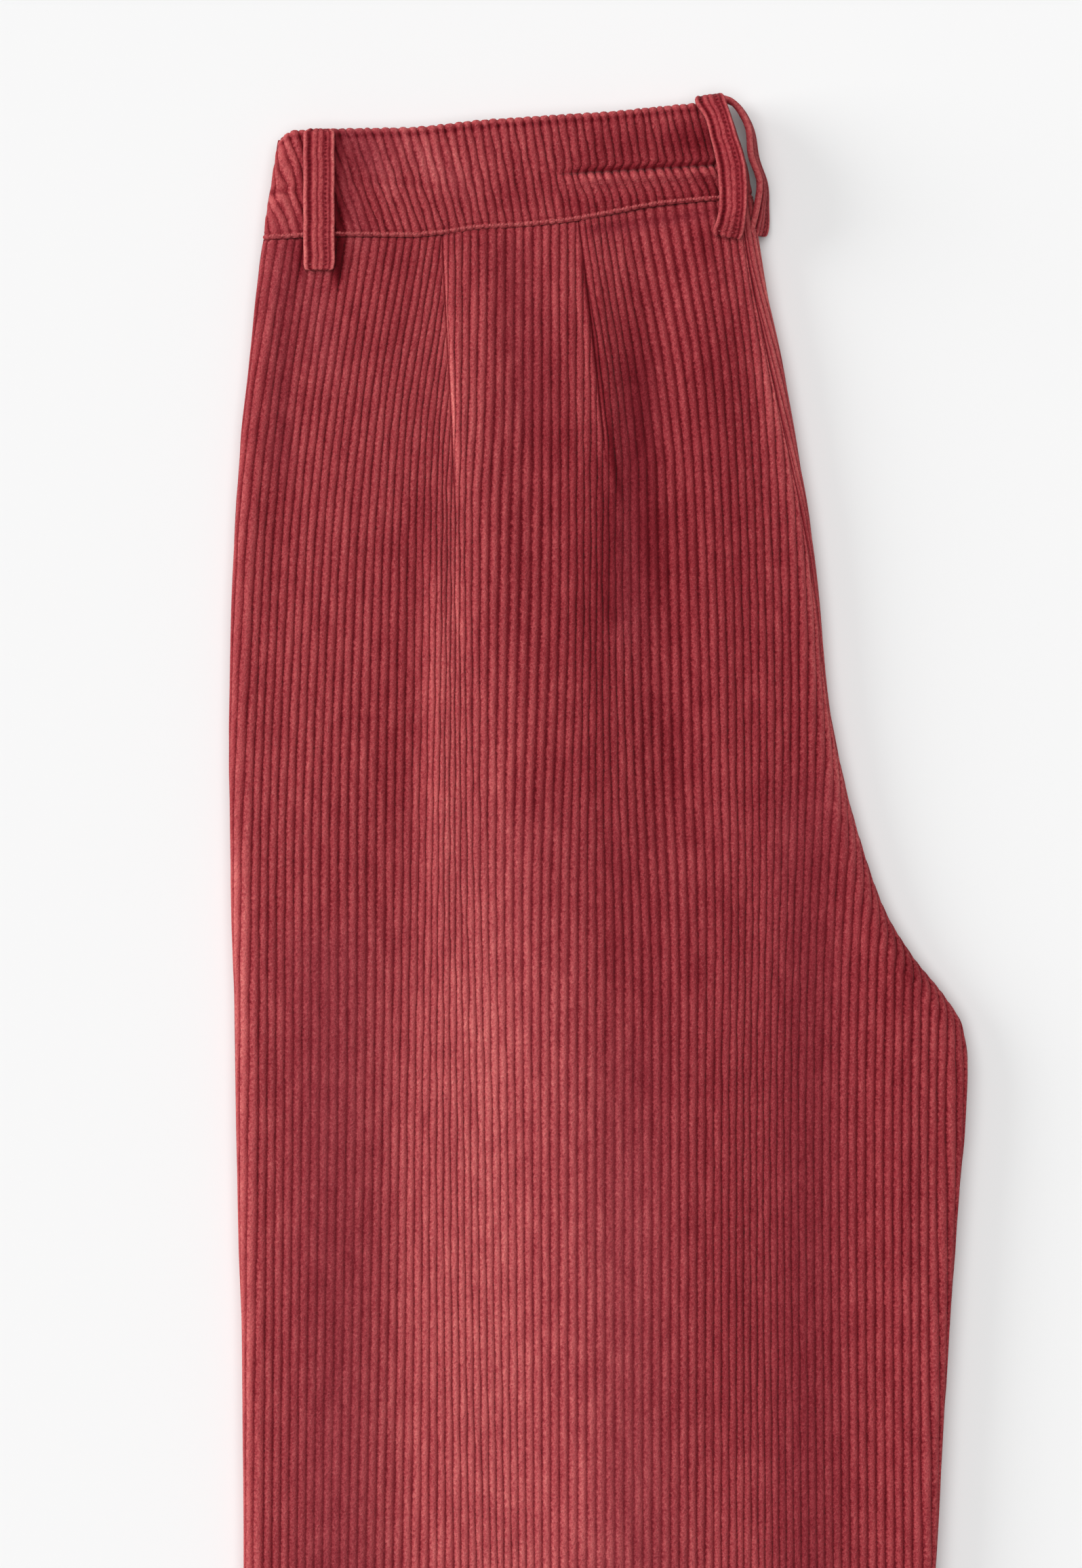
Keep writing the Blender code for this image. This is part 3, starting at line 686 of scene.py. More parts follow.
PAINTED_LIGHT_SPOTS = (
    # x0, y0, x1, y1, half width, tone: mostly painted shadows beside the belt loops, along the
    # darts and under the waist rim, and a few painted highlights
    (-99.2, 463.0, -99.8, 453.0, 2.0, -2.20),
    (-114.2, 463.0, -114.2, 455.0, 1.5, -0.90),
    (-6.2, 455.0, 7.2, 372.0, 1.2, -0.80),
    (-9.0, 445.0, 3.2, 372.0, 1.4, 0.35),
    (-61.5, 462.0, -60.0, 440.0, 1.6, -0.45),
    (39.0, 466.0, 42.0, 460.0, 4.0, -0.50),
    (-95.0, 438.0, -92.0, 422.0, 6.0, -0.22),
    (-10.0, 438.0, -8.0, 422.0, 5.0, -0.24),
    (-24.0, 262.0, -22.0, 246.0, 8.0, -0.22),
    (-46.0, 216.0, -42.0, 196.0, 9.0, 0.16),
    (90.0, 240.0, 92.0, 216.0, 6.0, -0.26),
    (118.0, 184.0, 116.0, 174.0, 6.0, -0.28),
    (3.0, 380.0, 6.0, 322.0, 6.0, -0.40),
    (-2.0, 469.5, 46.0, 476.0, 2.4, -0.45),
)
NAP_SPOT_END = 5.0
print(f"{len(NAP_AND_PAINTED_LIGHT)} strokes and {len(PAINTED_LIGHT_SPOTS)} spots on the panels")

# %% Painted light on the waistband
BAND_PAINTED_LIGHT = (
    # x0, y0, x1, y1, half width, tone: painted light above 0, painted shade below 0, such as the
    # shadows beside the belt loops
    (-76.0, 505.0, -72.0, 500.0, 4.0, 0.30),
    (-65.0, 504.0, -64.0, 500.0, 4.0, 0.42),
    (-66.0, 493.0, -62.0, 488.0, 5.0, 0.52),
    (-55.0, 497.0, -53.0, 490.0, 4.0, 0.42),
    (-84.0, 490.0, -80.0, 486.0, 5.0, 0.25),
    (-121.0, 502.0, -122.0, 472.0, 7.0, 0.38),
    (-99.9, 503.0, -99.9, 470.0, 1.8, -1.00),
    (-99.4, 476.0, -99.0, 471.0, 2.2, -0.90),
    (-114.0, 501.0, -114.0, 470.0, 1.3, -0.60),
    (-94.0, 496.0, -88.0, 474.0, 6.0, -0.30),
    (-40.0, 481.0, -20.0, 483.0, 6.0, -0.28),
    (0.0, 502.0, 50.0, 504.0, 6.0, -0.36),
    (34.0, 503.0, 44.0, 505.0, 7.0, -0.60),
    (-10.0, 478.0, 40.0, 482.0, 4.0, -0.28),
    (40.0, 488.0, 45.0, 482.0, 2.5, -0.60),
)
BAND_NAP_END = 5.0
print(f"{len(BAND_PAINTED_LIGHT)} strokes on the waistband")

# %% Pressed pile
PRESSED = (
    # x0, y0, x1, y1, half width, how flat
    (-104.0, 190.0, -100.0, -500.0, 19.0, 0.70),
    (14.0, 408.0, 12.0, 320.0, 9.0, 0.70),
    (80.0, 250.0, 78.0, -500.0, 15.0, 0.55),
    (12.0, 150.0, 12.0, -500.0, 16.0, 0.40),
    (-122.0, 455.0, -122.0, 385.0, 6.0, 0.55),
    (-113.0, 462.0, -106.0, 425.0, 8.0, 0.45),
    (-34.0, 455.0, -26.0, 405.0, 10.0, 0.35),
    (-93.0, 503.0, -88.0, 497.0, 7.0, 0.85),
    (-97.0, 486.0, -93.0, 474.0, 5.0, 0.60),
    (-76.0, 503.0, -58.0, 490.0, 6.0, 0.40),
    (8.0, 470.0, 36.0, 474.0, 2.6, 0.60),
    (0.0, 235.0, -10.0, -520.0, 100.0, 0.28),
)
PRESSED_END = 14.0
PRESSED_LOW = 0.5
print(f"{len(PRESSED)} pressed patches")


def pressed_flat(x, y):
    """How flat the pile has been pressed."""
    return np.clip(bells(x, y, PRESSED, PRESSED_END), 0.0, 1.0)


def nap_and_painted_light_at(x, y):
    """How pale or deep the nap is: the brushed pile, with painted light and shade."""
    return bells(x, y, NAP_AND_PAINTED_LIGHT, NAP_END) + bells(x, y, PAINTED_LIGHT_SPOTS, NAP_SPOT_END)


# %% [markdown]
# ## The top layer
# The left back is the panel that shows. Its rows lie closest where the darts and the crotch bend
# the wales. Beside each dart the cloth stands up in a small fold and dips into the sewn line.

# %% Top layer
ROWS = np.array((
    0.0, 5.0, 14.0, 26.0, 40.0, 54.0, 67.0, 80.0, 92.0, 104.0, 120.0, 142.0, 166.0,
    190.0, 212.0, 232.0, 250.0, 266.0, 280.0, 292.0, 304.0, 316.0, 332.0, 360.0, 410.0,
    480.0, 570.0, 700.0, 850.0, BACK_LENGTH - HEM_DEPTH, BACK_LENGTH,
))
SIDE_WALES = 53
SEAT_WALES = 46
print(f"{SIDE_WALES + SEAT_WALES} wales across a back, {len(ROWS)} rows down it")


def down_at(row):
    """How far below the waist seam a row of the slab is."""
    return np.interp(row, np.arange(len(ROWS)), ROWS)


# %% Darts in relief
DART_DIP = 0.45
DART_DIP_WIDTH = 0.9
DART_LIP = 0.5
DART_LIP_WIDTH = 2.6
DART_LIP_ASIDE = 3.6
DART_HOLLOW_ASIDE = -4.5
DART_FADES_FROM = 0.75
DART_FADES_OVER = 0.45


def dart_relief(x, down):
    """The dip of each dart's line and the lips beside it."""
    total = 0.0
    for dart in DARTS:
        aside = x - dart_at(dart, down)
        fades = (down - dart[2] * DART_FADES_FROM) / (dart[2] * DART_FADES_OVER)
        dip = -DART_DIP * bell(aside, DART_DIP_WIDTH)
        lip = DART_LIP * bell(aside - DART_LIP_ASIDE, DART_LIP_WIDTH)
        hollow = -0.5 * DART_LIP * bell(aside - DART_HOLLOW_ASIDE, DART_LIP_WIDTH)
        total = total + (1.0 - ramp(fades)) * (dip + lip + hollow)
    return total


# %% Valleys and pile
DART_SWALLOWS = 0.3
WOBBLE_ROOM = 1.5
SEAM_DIP = 0.12
SEAM_DIP_WIDTH = 0.6
SEAM_ROOM = 0.5


def leg_valley(wale, down, row, first, last):
    """Where the valley before a wale lies across a panel, along the cloth."""
    across = wale_across(wale * WALE_PITCH, down)
    y = row.y(across)
    room = np.full_like(across, WOBBLE_ROOM)
    for dart in DARTS:
        aside = np.abs(across - dart_line(dart, down))
        room = np.where(down < dart[2], np.minimum(room, aside), room)
    u = across + gathered(across, y) + wobble(wale, y) * room / WOBBLE_ROOM
    for dart in DARTS:
        swallowed = np.abs(across - dart_line(dart, down)) < DART_SWALLOWS
        u = np.where(swallowed & (down < dart[2]), dart_at(dart, down), u)
    u = last - crowd(last - u, SEAT_CROWD)
    return first + crowd(u - first, SIDE_CROWD)


def standing(u, down, first, last):
    """How far the pile stands, from 0 in a seam or a dart to 1 away from them."""
    room = np.minimum(u - first, last - u)
    for dart in DARTS:
        room = np.where(down < dart[2], np.minimum(room, np.abs(u - dart_at(dart, down))), room)
    return np.clip(room / SEAM_ROOM, 0.0, 1.0)


def seam_dip(u, first, last):
    """Cloth sinks a little towards the seams at its two edges."""
    near = np.minimum(u - first, last - u)
    return -SEAM_DIP * bell(near, SEAM_DIP_WIDTH)


# %% Lay the left back
WALE_UNEVEN = 0.08
WALE_UNEVEN_LENGTH = 9.0
END_ROUND = 0.9
END_ROUND_WIDTH = 1.1


def cut_back(cuts, under):
    """A back panel's slab: its sections, and where each vertex lies on its ribs."""
    bm = cut_slab(SIDE_WALES, SEAT_WALES, len(ROWS) - 1, cuts)
    column, slab_row, inside = coordinates(bm)
    down = down_at(slab_row)
    row = leg_section(down)
    first, last = reach(row, 180.0 - row.seam if under else row.seam)
    last = last - SEAM_GAP
    wale, u, height = ribbed(
        column, cuts + 1, lambda line: leg_valley(line, down, row, first, last)
    )
    stands = standing(u, down, first, last)
    return bm, inside, down, row, wale, u, height, stands, seam_dip(u, first, last)


def lay_top(name, cuts):
    """The left back, with its face up and its folds."""
    bm, inside, down, row, wale, u, height, stands, dip = cut_back(cuts, False)
    flat = pressed_flat(u, row.y(u))
    uneven = np.sin(np.floor(wale) * 5.1 + down / WALE_UNEVEN_LENGTH)
    height = height * stands * (1.0 + WALE_UNEVEN * uneven)
    height = height * (1.0 - PRESSED_LOW * flat)
    ends = np.minimum(down, BACK_LENGTH - down)
    out = WALE_HEIGHT * height + dip - END_ROUND * bell(ends, END_ROUND_WIDTH)
    x, ground, drop = on_section(row, u, np.where(inside, -row.wall, out))
    y = row.y(ground)
    near_edge = np.minimum(ground - row.side, row.seat - ground)
    rise = bells(ground, y, FOLDS, FOLD_END) * ramp(near_edge / FOLD_EDGE)
    small = bells(ground, y, SMALL_FOLDS, SMALL_FOLD_END) + dart_relief(ground, down)
    rise = rise + small * ramp(near_edge / FOLD_EDGE)
    z = row.high - WALE_HEIGHT - drop + rise
    points = np.stack([x, y, z], axis=1)
    # The nap carries painted light and shade as well as the brushed pile.
    nap = nap_and_painted_light_at(ground, y)
    return lay(bm, name, points, wale, down, inside, pile=stands, nap=nap, pressed=flat)


left_back = lay_top("left_back_cloth", 5)

# %% [markdown]
# ## The layers below
# The right back lies underneath, turned over: the same section with its face down. It rests flat,
# so it has no folds, but it has the same darts and the same wales. The two fronts lie between.
# Each is the other half of a leg's flattened tube, and its face meets the other front's.

# %% Lower layers
FRONT_TUCK = CLOTH + GAP + 4.0


def turned_over(row, u, out):
    """Points of a layer that lies face down."""
    x, ground, drop = on_section(row, u, out)
    return x, ground, row.low + WALE_HEIGHT + drop


def lay_under(name, cuts):
    """The right back, face down on the surface."""
    bm, inside, down, row, wale, u, height, stands, dip = cut_back(cuts, True)
    out = WALE_HEIGHT * height * stands + dip
    x, ground, z = turned_over(row, u, np.where(inside, -row.wall, out))
    points = np.stack([x, row.y(ground), z], axis=1)
    # The nap carries painted light and shade as well as the brushed pile.
    nap = nap_and_painted_light_at(x, points[:, 1])
    return lay(bm, name, points, wale, down, inside, pile=stands, nap=nap, pressed=0.0 * nap)


# %% Fronts
def front_of(row, upper):
    """The section of one front: the inner half of its own leg's tube."""
    middle = (row.high + row.low) / 2.0
    quarter = (row.high - row.low) / 4.0
    row.seat = row.seat - row.together * FRONT_TUCK
    row.seat_round = SIDE_ROUND * np.ones_like(row.low)
    row.seat_half = quarter - WALE_HEIGHT
    row.inner = middle + GAP / 2.0 if upper else middle - GAP / 2.0
    return row


def lay_front(name, upper, cuts, section, at_row, rows, wales):
    """A front half, of a leg or of the waistband, inside the fold."""
    bm = cut_slab(wales, wales, rows, cuts)
    column, slab_row, inside = coordinates(bm)
    row = front_of(section(at_row(slab_row)), upper)
    first, last = reach(row, 90.0)
    first, last = first + GAP / 2.0, last - GAP / 2.0

    def valley_at(line):
        u = last - crowd(last - line * WALE_PITCH, SIDE_CROWD)
        return first + crowd(u - first, SIDE_CROWD)

    wale, u, height = ribbed(column, cuts + 1, valley_at)
    stands = np.clip(np.minimum(u - first, last - u) / SEAM_ROOM, 0.0, 1.0)
    out = WALE_HEIGHT * height * stands + seam_dip(u, first, last)
    x, ground, drop = on_section(row, u, np.where(inside, -row.wall, out))
    z = row.inner + (WALE_HEIGHT + drop) * (1.0 if upper else -1.0)
    points = np.stack([x, row.y(ground), z], axis=1)
    y, flat = points[:, 1], np.zeros(len(points))
    # The fronts' nap carries the same painted light and shade.
    return lay(bm, name, points, wale, y, inside, pile=stands, nap=nap_and_painted_light_at(x, y), pressed=flat)


right_back = lay_under("right_back_cloth", 3)
LEG_ROWS = len(ROWS) - 1
left_front = lay_front("left_front_cloth", True, 1, leg_section, down_at, LEG_ROWS, SEAT_WALES)
right_front = lay_front("right_front_cloth", False, 1, leg_section, down_at, LEG_ROWS, SEAT_WALES)

# %% [markdown]
# ## The waistband
# The waistband is cut with its wales running up, but it is set on at a slant, so they lean. It is
# stiff, and where the two halves were folded over, a sharp crease has formed near the middle of
# the back: the upper part dives under a small roll, whose edge is scalloped by the wales. A short
# kink has formed at the side as well. The band's lower edge is stitched down, which leaves a
# narrow puffed rim below the stitches. Its top edge is rolled over, with a line of small pits.

# %% Waistband
BAND_HEIGHT = 39.0
BAND_HEIGHTS = np.concatenate((
    (0.0, 0.5, 1.2, 2.0, 3.2, 5.5, 8.5),
    np.arange(10.5, 19.6, 0.75),
    (21.5, 24.0, 27.0, 30.0, 33.0, 34.8, 36.0, 37.0, 38.0, 38.7, 39.0),
)) / BAND_HEIGHT
BAND_LEAN = (
    # x at the seam, sideways drift from the seam to the top edge
    (-130.0, 8.0),
    (-112.0, 11.0),
    (-95.0, 13.5),
    (-74.0, 12.5),
    (-58.0, 9.0),
    (-40.0, 7.0),
    (-12.0, 6.3),
    (15.0, 5.6),
    (34.0, 9.0),
    (60.0, 10.0),
)
band_lean = curve_through(BAND_LEAN, 1)
BAND_WALES = 42
print(f"{2 * BAND_WALES} wales across the waistband, {len(BAND_HEIGHTS)} rows up it")

# %% [markdown]
# ## The crease
# Cloth that has been folded sharply and opened again keeps a crease: a soft roll on one side and
# a dive on the other. It pushes the wales over as it goes, and it carries painted shade above it
# and a painted highlight on its roll. One function gives all three, so that they stay together.

# %% Crease
CREASES = (
    # x0, y0, x1, y1, depth, roll below, lean of the roll's wales
    (-22.0, 489.6, 53.0, 493.8, 2.4, 2.1, 2.2),
    (-108.0, 483.8, -132.0, 482.0, 1.7, 1.0, 2.5),
    (-46.0, 484.0, -88.0, 486.8, 0.3, 0.3, 0.4),
)
CREASE_FADE = 22.0
CREASE_EDGE = 1.6
CREASE_SHADE = 0.34
CREASE_SHADE_UP = 0.7
CREASE_SHADE_WIDTH = 1.2
CREASE_DIVE_SHADE = 0.17
CREASE_HIGHLIGHT = 0.17
CREASE_HIGHLIGHT_WIDTH = 1.8
SCALLOP = 0.6
DIVE_FADE = 6.0
ROLL_BELOW = 2.4
ROLL_WIDTH = 3.0
LEAN_REACH = 11.0
LEAN_ENDS = 3.5


def crease(x, y, height=0.5):
    """The rise of the creases, how far they push the wales aside, and their painted shade and
    highlight.
    """
    rise, push, shade = 0.0, 0.0, 0.0
    for x0, y0, x1, y1, depth, roll, lean in CREASES:
        along = (x - x0) / (x1 - x0)
        fade = abs(x1 - x0) / min(CREASE_FADE, abs(x1 - x0))
        strength = ramp(along * fade) * ramp(1.0 + (1.0 - along) * fade)
        above = y - mix(y0, y1, np.clip(along, 0.0, 1.0)) - SCALLOP * (height - 0.5)
        over = ramp(above / CREASE_EDGE + 0.5)
        dive = -depth * over * np.exp(-np.maximum(above, 0.0) / DIVE_FADE)
        swell = roll * bell(above + ROLL_BELOW, ROLL_WIDTH) * (1.0 - over)
        rise = rise + strength * (dive + swell)
        leaning = ramp((above + LEAN_REACH) / LEAN_REACH) * (1.0 - ramp(above / LEAN_ENDS))
        push = push - strength * lean * leaning
        # Painted shade in the crease and down the dive, and a painted highlight on the roll.
        dark = CREASE_SHADE * bell(above - CREASE_SHADE_UP, CREASE_SHADE_WIDTH)
        dark = dark + CREASE_DIVE_SHADE * over * np.exp(-np.maximum(above, 0.0) / DIVE_FADE)
        pale = CREASE_HIGHLIGHT * bell(above + ROLL_BELOW, CREASE_HIGHLIGHT_WIDTH)
        shade = shade + strength * (roll * pale - depth * dark)
    return rise, push, shade


print(f"{len(CREASES)} creases on the waistband")


# %% Valleys of the band
BAND_WOBBLE = 1.9


def band_at(row):
    """How far up the band a row of the slab is, as a share."""
    return np.interp(row, np.arange(len(BAND_HEIGHTS)), BAND_HEIGHTS)


def band_valley(wale, share, first, last):
    """Where the valley before a wale lies across the band."""
    foot = wale * WALE_PITCH
    u = foot - band_lean(foot) * (share - 0.5)
    up = (waist_top(u) - waist_seam(u)) * share
    _, push, _ = crease(u, waist_seam(u) + up)
    u = u + push + BAND_WOBBLE * wobble(wale, up * 1.4)
    u = last - crowd(last - u, SIDE_CROWD)
    return first + crowd(u - first, SIDE_CROWD)


# %% [markdown]
# ## The band's cloth
# The band's slab is laid like a panel's, with four things of its own: the line of stitches that
# dips near its foot, the puffed rim below them, the top edge that rolls over with its pits, and
# the crease. The lower half is the same cloth turned over. It lies flat, so the crease only bends
# its wales.

# %% Foot and top edge of the band
STITCH_UP = 1.5
STITCH_DIP = 0.30
STITCH_DIP_WIDTH = 0.45
RIM_TOP = 1.5
RIM_RISE = 0.35
RIM_OVER = 0.7
RIM_OVER_WIDTH = 1.1
RIM_EDGE = 0.6
RIM_EDGE_WIDTH = 0.45
RIM_BUMP = 0.12
RIM_NAP = 0.25
RIM_FUZZ = 0.5
TOP_ROUND = 2.4
TOP_RIM = 2.2
TOP_PITS = 3.0
TOP_PIT_WIDTH = 1.0
TOP_PIT_DEPTH = 0.3
TOP_DROP = 2.0
TOP_TUCK = 0.8
TOP_BUMP = 0.42
TOP_BUMP_UNEVEN = 0.2
PILE_AT_STITCHES = 0.75
PILE_RISES_OVER = 1.6
BAND_WAVE = 0.35
BAND_WAVE_ACROSS = 17.0
BAND_WAVE_UP = 13.0
BAND_EDGE = 2.0
BAND_EDGE_FADE = 8.0
print(f"stitched {STITCH_UP} mm above the seam, rolled over {TOP_ROUND} mm below the top")


# %% Lay the band
def lay_band(name, upper, cuts):
    """Half of the waistband's back: the upper one, or the one below it, face down."""
    bm = cut_slab(BAND_WALES, BAND_WALES, len(BAND_HEIGHTS) - 1, cuts)
    column, slab_row, inside = coordinates(bm)
    share = band_at(slab_row)
    row = band_section(share)
    first, last = reach(row, row.seam if upper else 180.0 - row.seam)
    last = last - SEAM_GAP
    wale, u, height = ribbed(
        column, cuts + 1, lambda line: band_valley(line, share, first, last)
    )
    band_height = waist_top(u) - waist_seam(u)
    up = band_height * share
    stands = np.clip(np.minimum(u - first, last - u) / SEAM_ROOM, 0.0, 1.0)
    stands = stands * mix(PILE_AT_STITCHES, 1.0, ramp((up - STITCH_UP) / PILE_RISES_OVER))
    flat = pressed_flat(u, waist_seam(u) + up) * (1.0 if upper else 0.0)
    stitched = -STITCH_DIP * bell(up - STITCH_UP, STITCH_DIP_WIDTH)
    on_rim = np.sin(np.pi * np.clip(up / RIM_TOP, 0.0, 1.0))
    beads = RIM_BUMP * (np.sin(u * 2.9) + 0.6 * np.sin(u * 1.7 + 1.0))
    rim = (RIM_RISE + beads) * on_rim - RIM_EDGE * bell(up, RIM_EDGE_WIDTH)
    relief = height * stands * (1.0 - PRESSED_LOW * flat)
    out = WALE_HEIGHT * relief + seam_dip(u, first, last) + stitched + rim
    from_top = band_height * (1.0 - share)
    turn = np.clip(1.0 - from_top / TOP_ROUND, 0.0, 1.0)
    rolled = ramp(1.0 - from_top / TOP_RIM)
    groove = bell(from_top - TOP_PITS, TOP_PIT_WIDTH)
    # Painted shade in the pits along the top edge, as well as their dip.
    pit_shade = groove * (1.0 - 0.7 * np.clip(height, 0.0, 1.0))
    out = out - TOP_PIT_DEPTH * groove
    over = TOP_DROP * (1.0 - np.sqrt(np.maximum(0.0, 1.0 - turn**2)))
    out = np.where(inside, -row.wall - 0.4 * over, out - over)
    if upper:
        x, ground, drop = on_section(row, u, out)
    else:
        x, ground, z = turned_over(row, u, out)
    bumps = (TOP_BUMP + TOP_BUMP_UNEVEN * np.sin(0.9 * u)) * (height - 0.5)
    y = row.y(ground) + np.where(inside, -TOP_TUCK, bumps) * turn
    y = y - np.where(inside, 0.0, RIM_OVER * bell(up, RIM_OVER_WIDTH))
    shade = 0.0
    if upper:
        creased, _, shade = crease(ground, y, height)
        wave = BAND_WAVE * np.sin(ground / BAND_WAVE_ACROSS)
        wave = wave * np.sin((y - WAIST_SEAM_Y) / BAND_WAVE_UP + 1.0)
        near_edge = np.minimum(ground - row.side, row.seat - ground)
        rise = (creased + wave) * ramp((near_edge + BAND_EDGE) / BAND_EDGE_FADE)
        z = row.high - WALE_HEIGHT - drop + rise
    points = np.stack([x, y, z], axis=1)
    # Painted shade in the pits and at the crease; the rim and the rolled top edge are painted
    # paler.
    nap = bells(x, y, BAND_PAINTED_LIGHT, BAND_NAP_END) + RIM_NAP * (on_rim + rolled) - pit_shade + shade
    pile = stands + RIM_FUZZ * (on_rim + rolled)
    return lay(bm, name, points, wale, up, inside, pile=pile, nap=nap, pressed=flat)


band_left_back = lay_band("waistband_left_back_cloth", True, 5)
band_right_back = lay_band("waistband_right_back_cloth", False, 3)
BAND_ROWS = len(BAND_HEIGHTS) - 1
band_left_front = lay_front(
    "waistband_left_front_cloth", True, 1, band_section, band_at, BAND_ROWS, BAND_WALES
)
band_right_front = lay_front(
    "waistband_right_front_cloth", False, 1, band_section, band_at, BAND_ROWS, BAND_WALES
)

# %% [markdown]
# ## Belt loops
# A belt loop is a narrow strip of the same cloth, folded in three and stitched along both edges,
# so it is thick, ribbed and a little ropy. Two of them lie flat near the side seam. The two beside
# the centre back seam stand away from the waistband, because the fold has pushed them up.

# %% Loop paths
BAND_DOWN = HEIGHT - BAND_TOP
LOOP_SIDE = (
    # y, drop below the waistband's face
    (507.2, 2.4),
    (505.4, 0.9),
    (502.2, 0.0),
    (470.0, 0.0),
    (464.0, 0.2),
    (455.2, 1.2),
    (453.2, 1.3),
)
LOOP_LEFT = (
    # y, centre x, stand-off from the waistband, share of its width, degrees that its face leans,
    # degrees that it slants
    (519.7, 42.0, -3.6, 0.96, 2.0, 7.0),
    (519.4, 42.2, -1.4, 0.99, 4.0, 8.0),
    (518.0, 42.7, 0.7, 0.97, 6.0, 9.0),
    (515.2, 43.8, 2.5, 0.92, 10.0, 7.0),
    (511.0, 45.5, 4.4, 0.85, 14.0, 3.0),
    (505.0, 47.3, 5.5, 0.87, 16.0, 0.0),
    (495.0, 50.0, 5.7, 0.93, 14.0, 0.0),
    (486.0, 51.2, 5.6, 0.92, 12.0, 0.0),
    (477.5, 51.2, 5.0, 0.90, 12.0, -2.0),
    (472.0, 50.6, 3.4, 0.92, 8.0, -4.0),
    (468.5, 49.7, 1.0, 0.98, 4.0, -7.0),
    (465.8, 49.2, BAND_DOWN, 0.98, 0.0, -9.0),
)
LOOP_RIGHT = (
    # y, centre beyond the seat edge, share of its width, degrees that its face leans up
    (520.2, 0.4, 0.80, 22.0),
    (519.6, 2.6, 0.86, 17.0),
    (518.2, 4.8, 0.90, 14.0),
    (514.0, 6.5, 0.95, 12.0),
    (507.5, 6.8, 1.0, 11.0),
    (497.7, 3.8, 1.0, 15.0),
    (488.0, 4.6, 1.0, 15.0),
    (479.0, 3.0, 1.0, 22.0),
    (472.0, 1.3, 1.0, 32.0),
    (467.4, -0.4, 0.95, 38.0),
)
LOOP_RIGHT_Z = 7.8
print(f"a loop stands up to {max(row[2] for row in LOOP_LEFT)} mm off the waistband")


# %% From rows to paths
def flat_loop_path(under):
    """The path of a loop that lies flat: its centre, its way across and its width."""
    y, drop = np.array(LOOP_SIDE).T
    rest = BAND_TOP + GAP + LOOP_CLOTH / 2.0
    z = np.full(len(y), LOOP_CLOTH / 2.0) if under else rest - drop
    centres = np.stack([np.full(len(y), SIDE_LOOP_X), y, z], axis=1)
    return centres, np.tile((1.0, 0.0, 0.0), (len(y), 1)), np.full((len(y), 1), LOOP_WIDTH)


def bowed_loop_path():
    """The path of the loop that stands off the waistband beside the centre back."""
    y, x, stand_off, share, lean, slant = np.array(LOOP_LEFT).T
    z = BAND_TOP + GAP + stand_off + LOOP_CLOTH / 2.0
    turn, slant = np.radians(lean), np.radians(slant)
    flat = np.cos(slant)
    sides = np.stack([flat * np.cos(turn), np.sin(slant), flat * np.sin(turn)], axis=1)
    return np.stack([x, y, z], axis=1), sides, LOOP_WIDTH * share[:, None]


def edge_loop_path():
    """The path of the loop that stands off the folded edge, seen from its side."""
    y, beyond, share, lean = np.array(LOOP_RIGHT).T
    turn = np.radians(lean)
    sides = np.stack([np.sin(turn), 0.0 * turn, -np.cos(turn)], axis=1)
    centres = np.stack([seat_edge(y) + beyond, y, np.full(len(y), LOOP_RIGHT_Z)], axis=1)
    return centres, sides, LOOP_WIDTH * share[:, None]


def along_path(centres, values, share):
    """What a path's values are at a share of its length, with smooth curves between them."""
    steps = np.linalg.norm(np.diff(centres, axis=0), axis=1)
    lengths = np.concatenate([[0.0], np.cumsum(steps)])
    places, weights = catmull_rom(lengths / lengths[-1], share)
    return sum(w[:, None] * values[i] for i, w in zip(places, weights))


# %% [markdown]
# ## The face of a loop
# The strip was folded and stitched, so its face has a turned edge, a stitched groove, and two
# soft ribs between. A curve through a few heights across it draws these, and the stitch holes
# repeat along two of its lines. Another curve paints light across it: a highlight on the turned
# edges and the ribs, and shade in the grooves and the stitch holes.

# %% Relief of a loop
LOOK_AHEAD = 0.01
LOOP_END = 1.4
LOOP_END_DROP = 0.9
LOOP_LENGTH = 54.0
LOOP_SEAMS = (-0.30, 0.22)
LOOP_STITCH_PITCH = 1.5
PIT_DEPTH = 0.30
PIT_WIDTH = 0.035
PIT_SHADE = 0.5
LOOP_RELIEF = (
    # share across the strap, height, how pale: painted highlight on ribs and edges, painted shade
    # in grooves
    (-0.50, -0.75, 0.9),
    (-0.46, -0.10, 0.9),
    (-0.41, 0.00, 0.8),
    (-0.36, -0.28, 0.3),
    (-0.30, -0.38, 0.1),
    (-0.24, -0.28, 0.3),
    (-0.17, -0.02, 0.7),
    (-0.09, -0.08, 0.6),
    (-0.05, -0.24, 0.25),
    (0.02, -0.02, 0.7),
    (0.10, -0.06, 0.6),
    (0.145, -0.25, 0.25),
    (0.22, -0.20, 0.5),
    (0.29, -0.16, 0.5),
    (0.34, -0.34, 0.15),
    (0.40, -0.16, 0.6),
    (0.445, -0.12, 1.0),
    (0.475, -0.20, 0.9),
    (0.50, -0.80, 0.2),
)
loop_relief = curve_through(LOOP_RELIEF, 1)
loop_painted_light = curve_through(LOOP_RELIEF, 2)


def loop_frame(path, share):
    """The centre, the way across, the way outwards and the width at a share of its length."""
    centres, sides, widths = path
    centre = along_path(centres, centres, share)
    side = along_path(centres, sides, share)
    side = side / np.linalg.norm(side, axis=1)[:, None]
    ahead = along_path(centres, centres, share + LOOK_AHEAD)
    ahead = ahead - along_path(centres, centres, share - LOOK_AHEAD)
    outward = np.cross(ahead, side)
    outward = outward / np.linalg.norm(outward, axis=1)[:, None]
    return centre, side, outward, along_path(centres, widths, share)[:, 0]


def from_loop_end(share):
    """How far a share of a loop's length is from its nearer end."""
    return (0.5 - np.abs(share - 0.5)) * LOOP_LENGTH


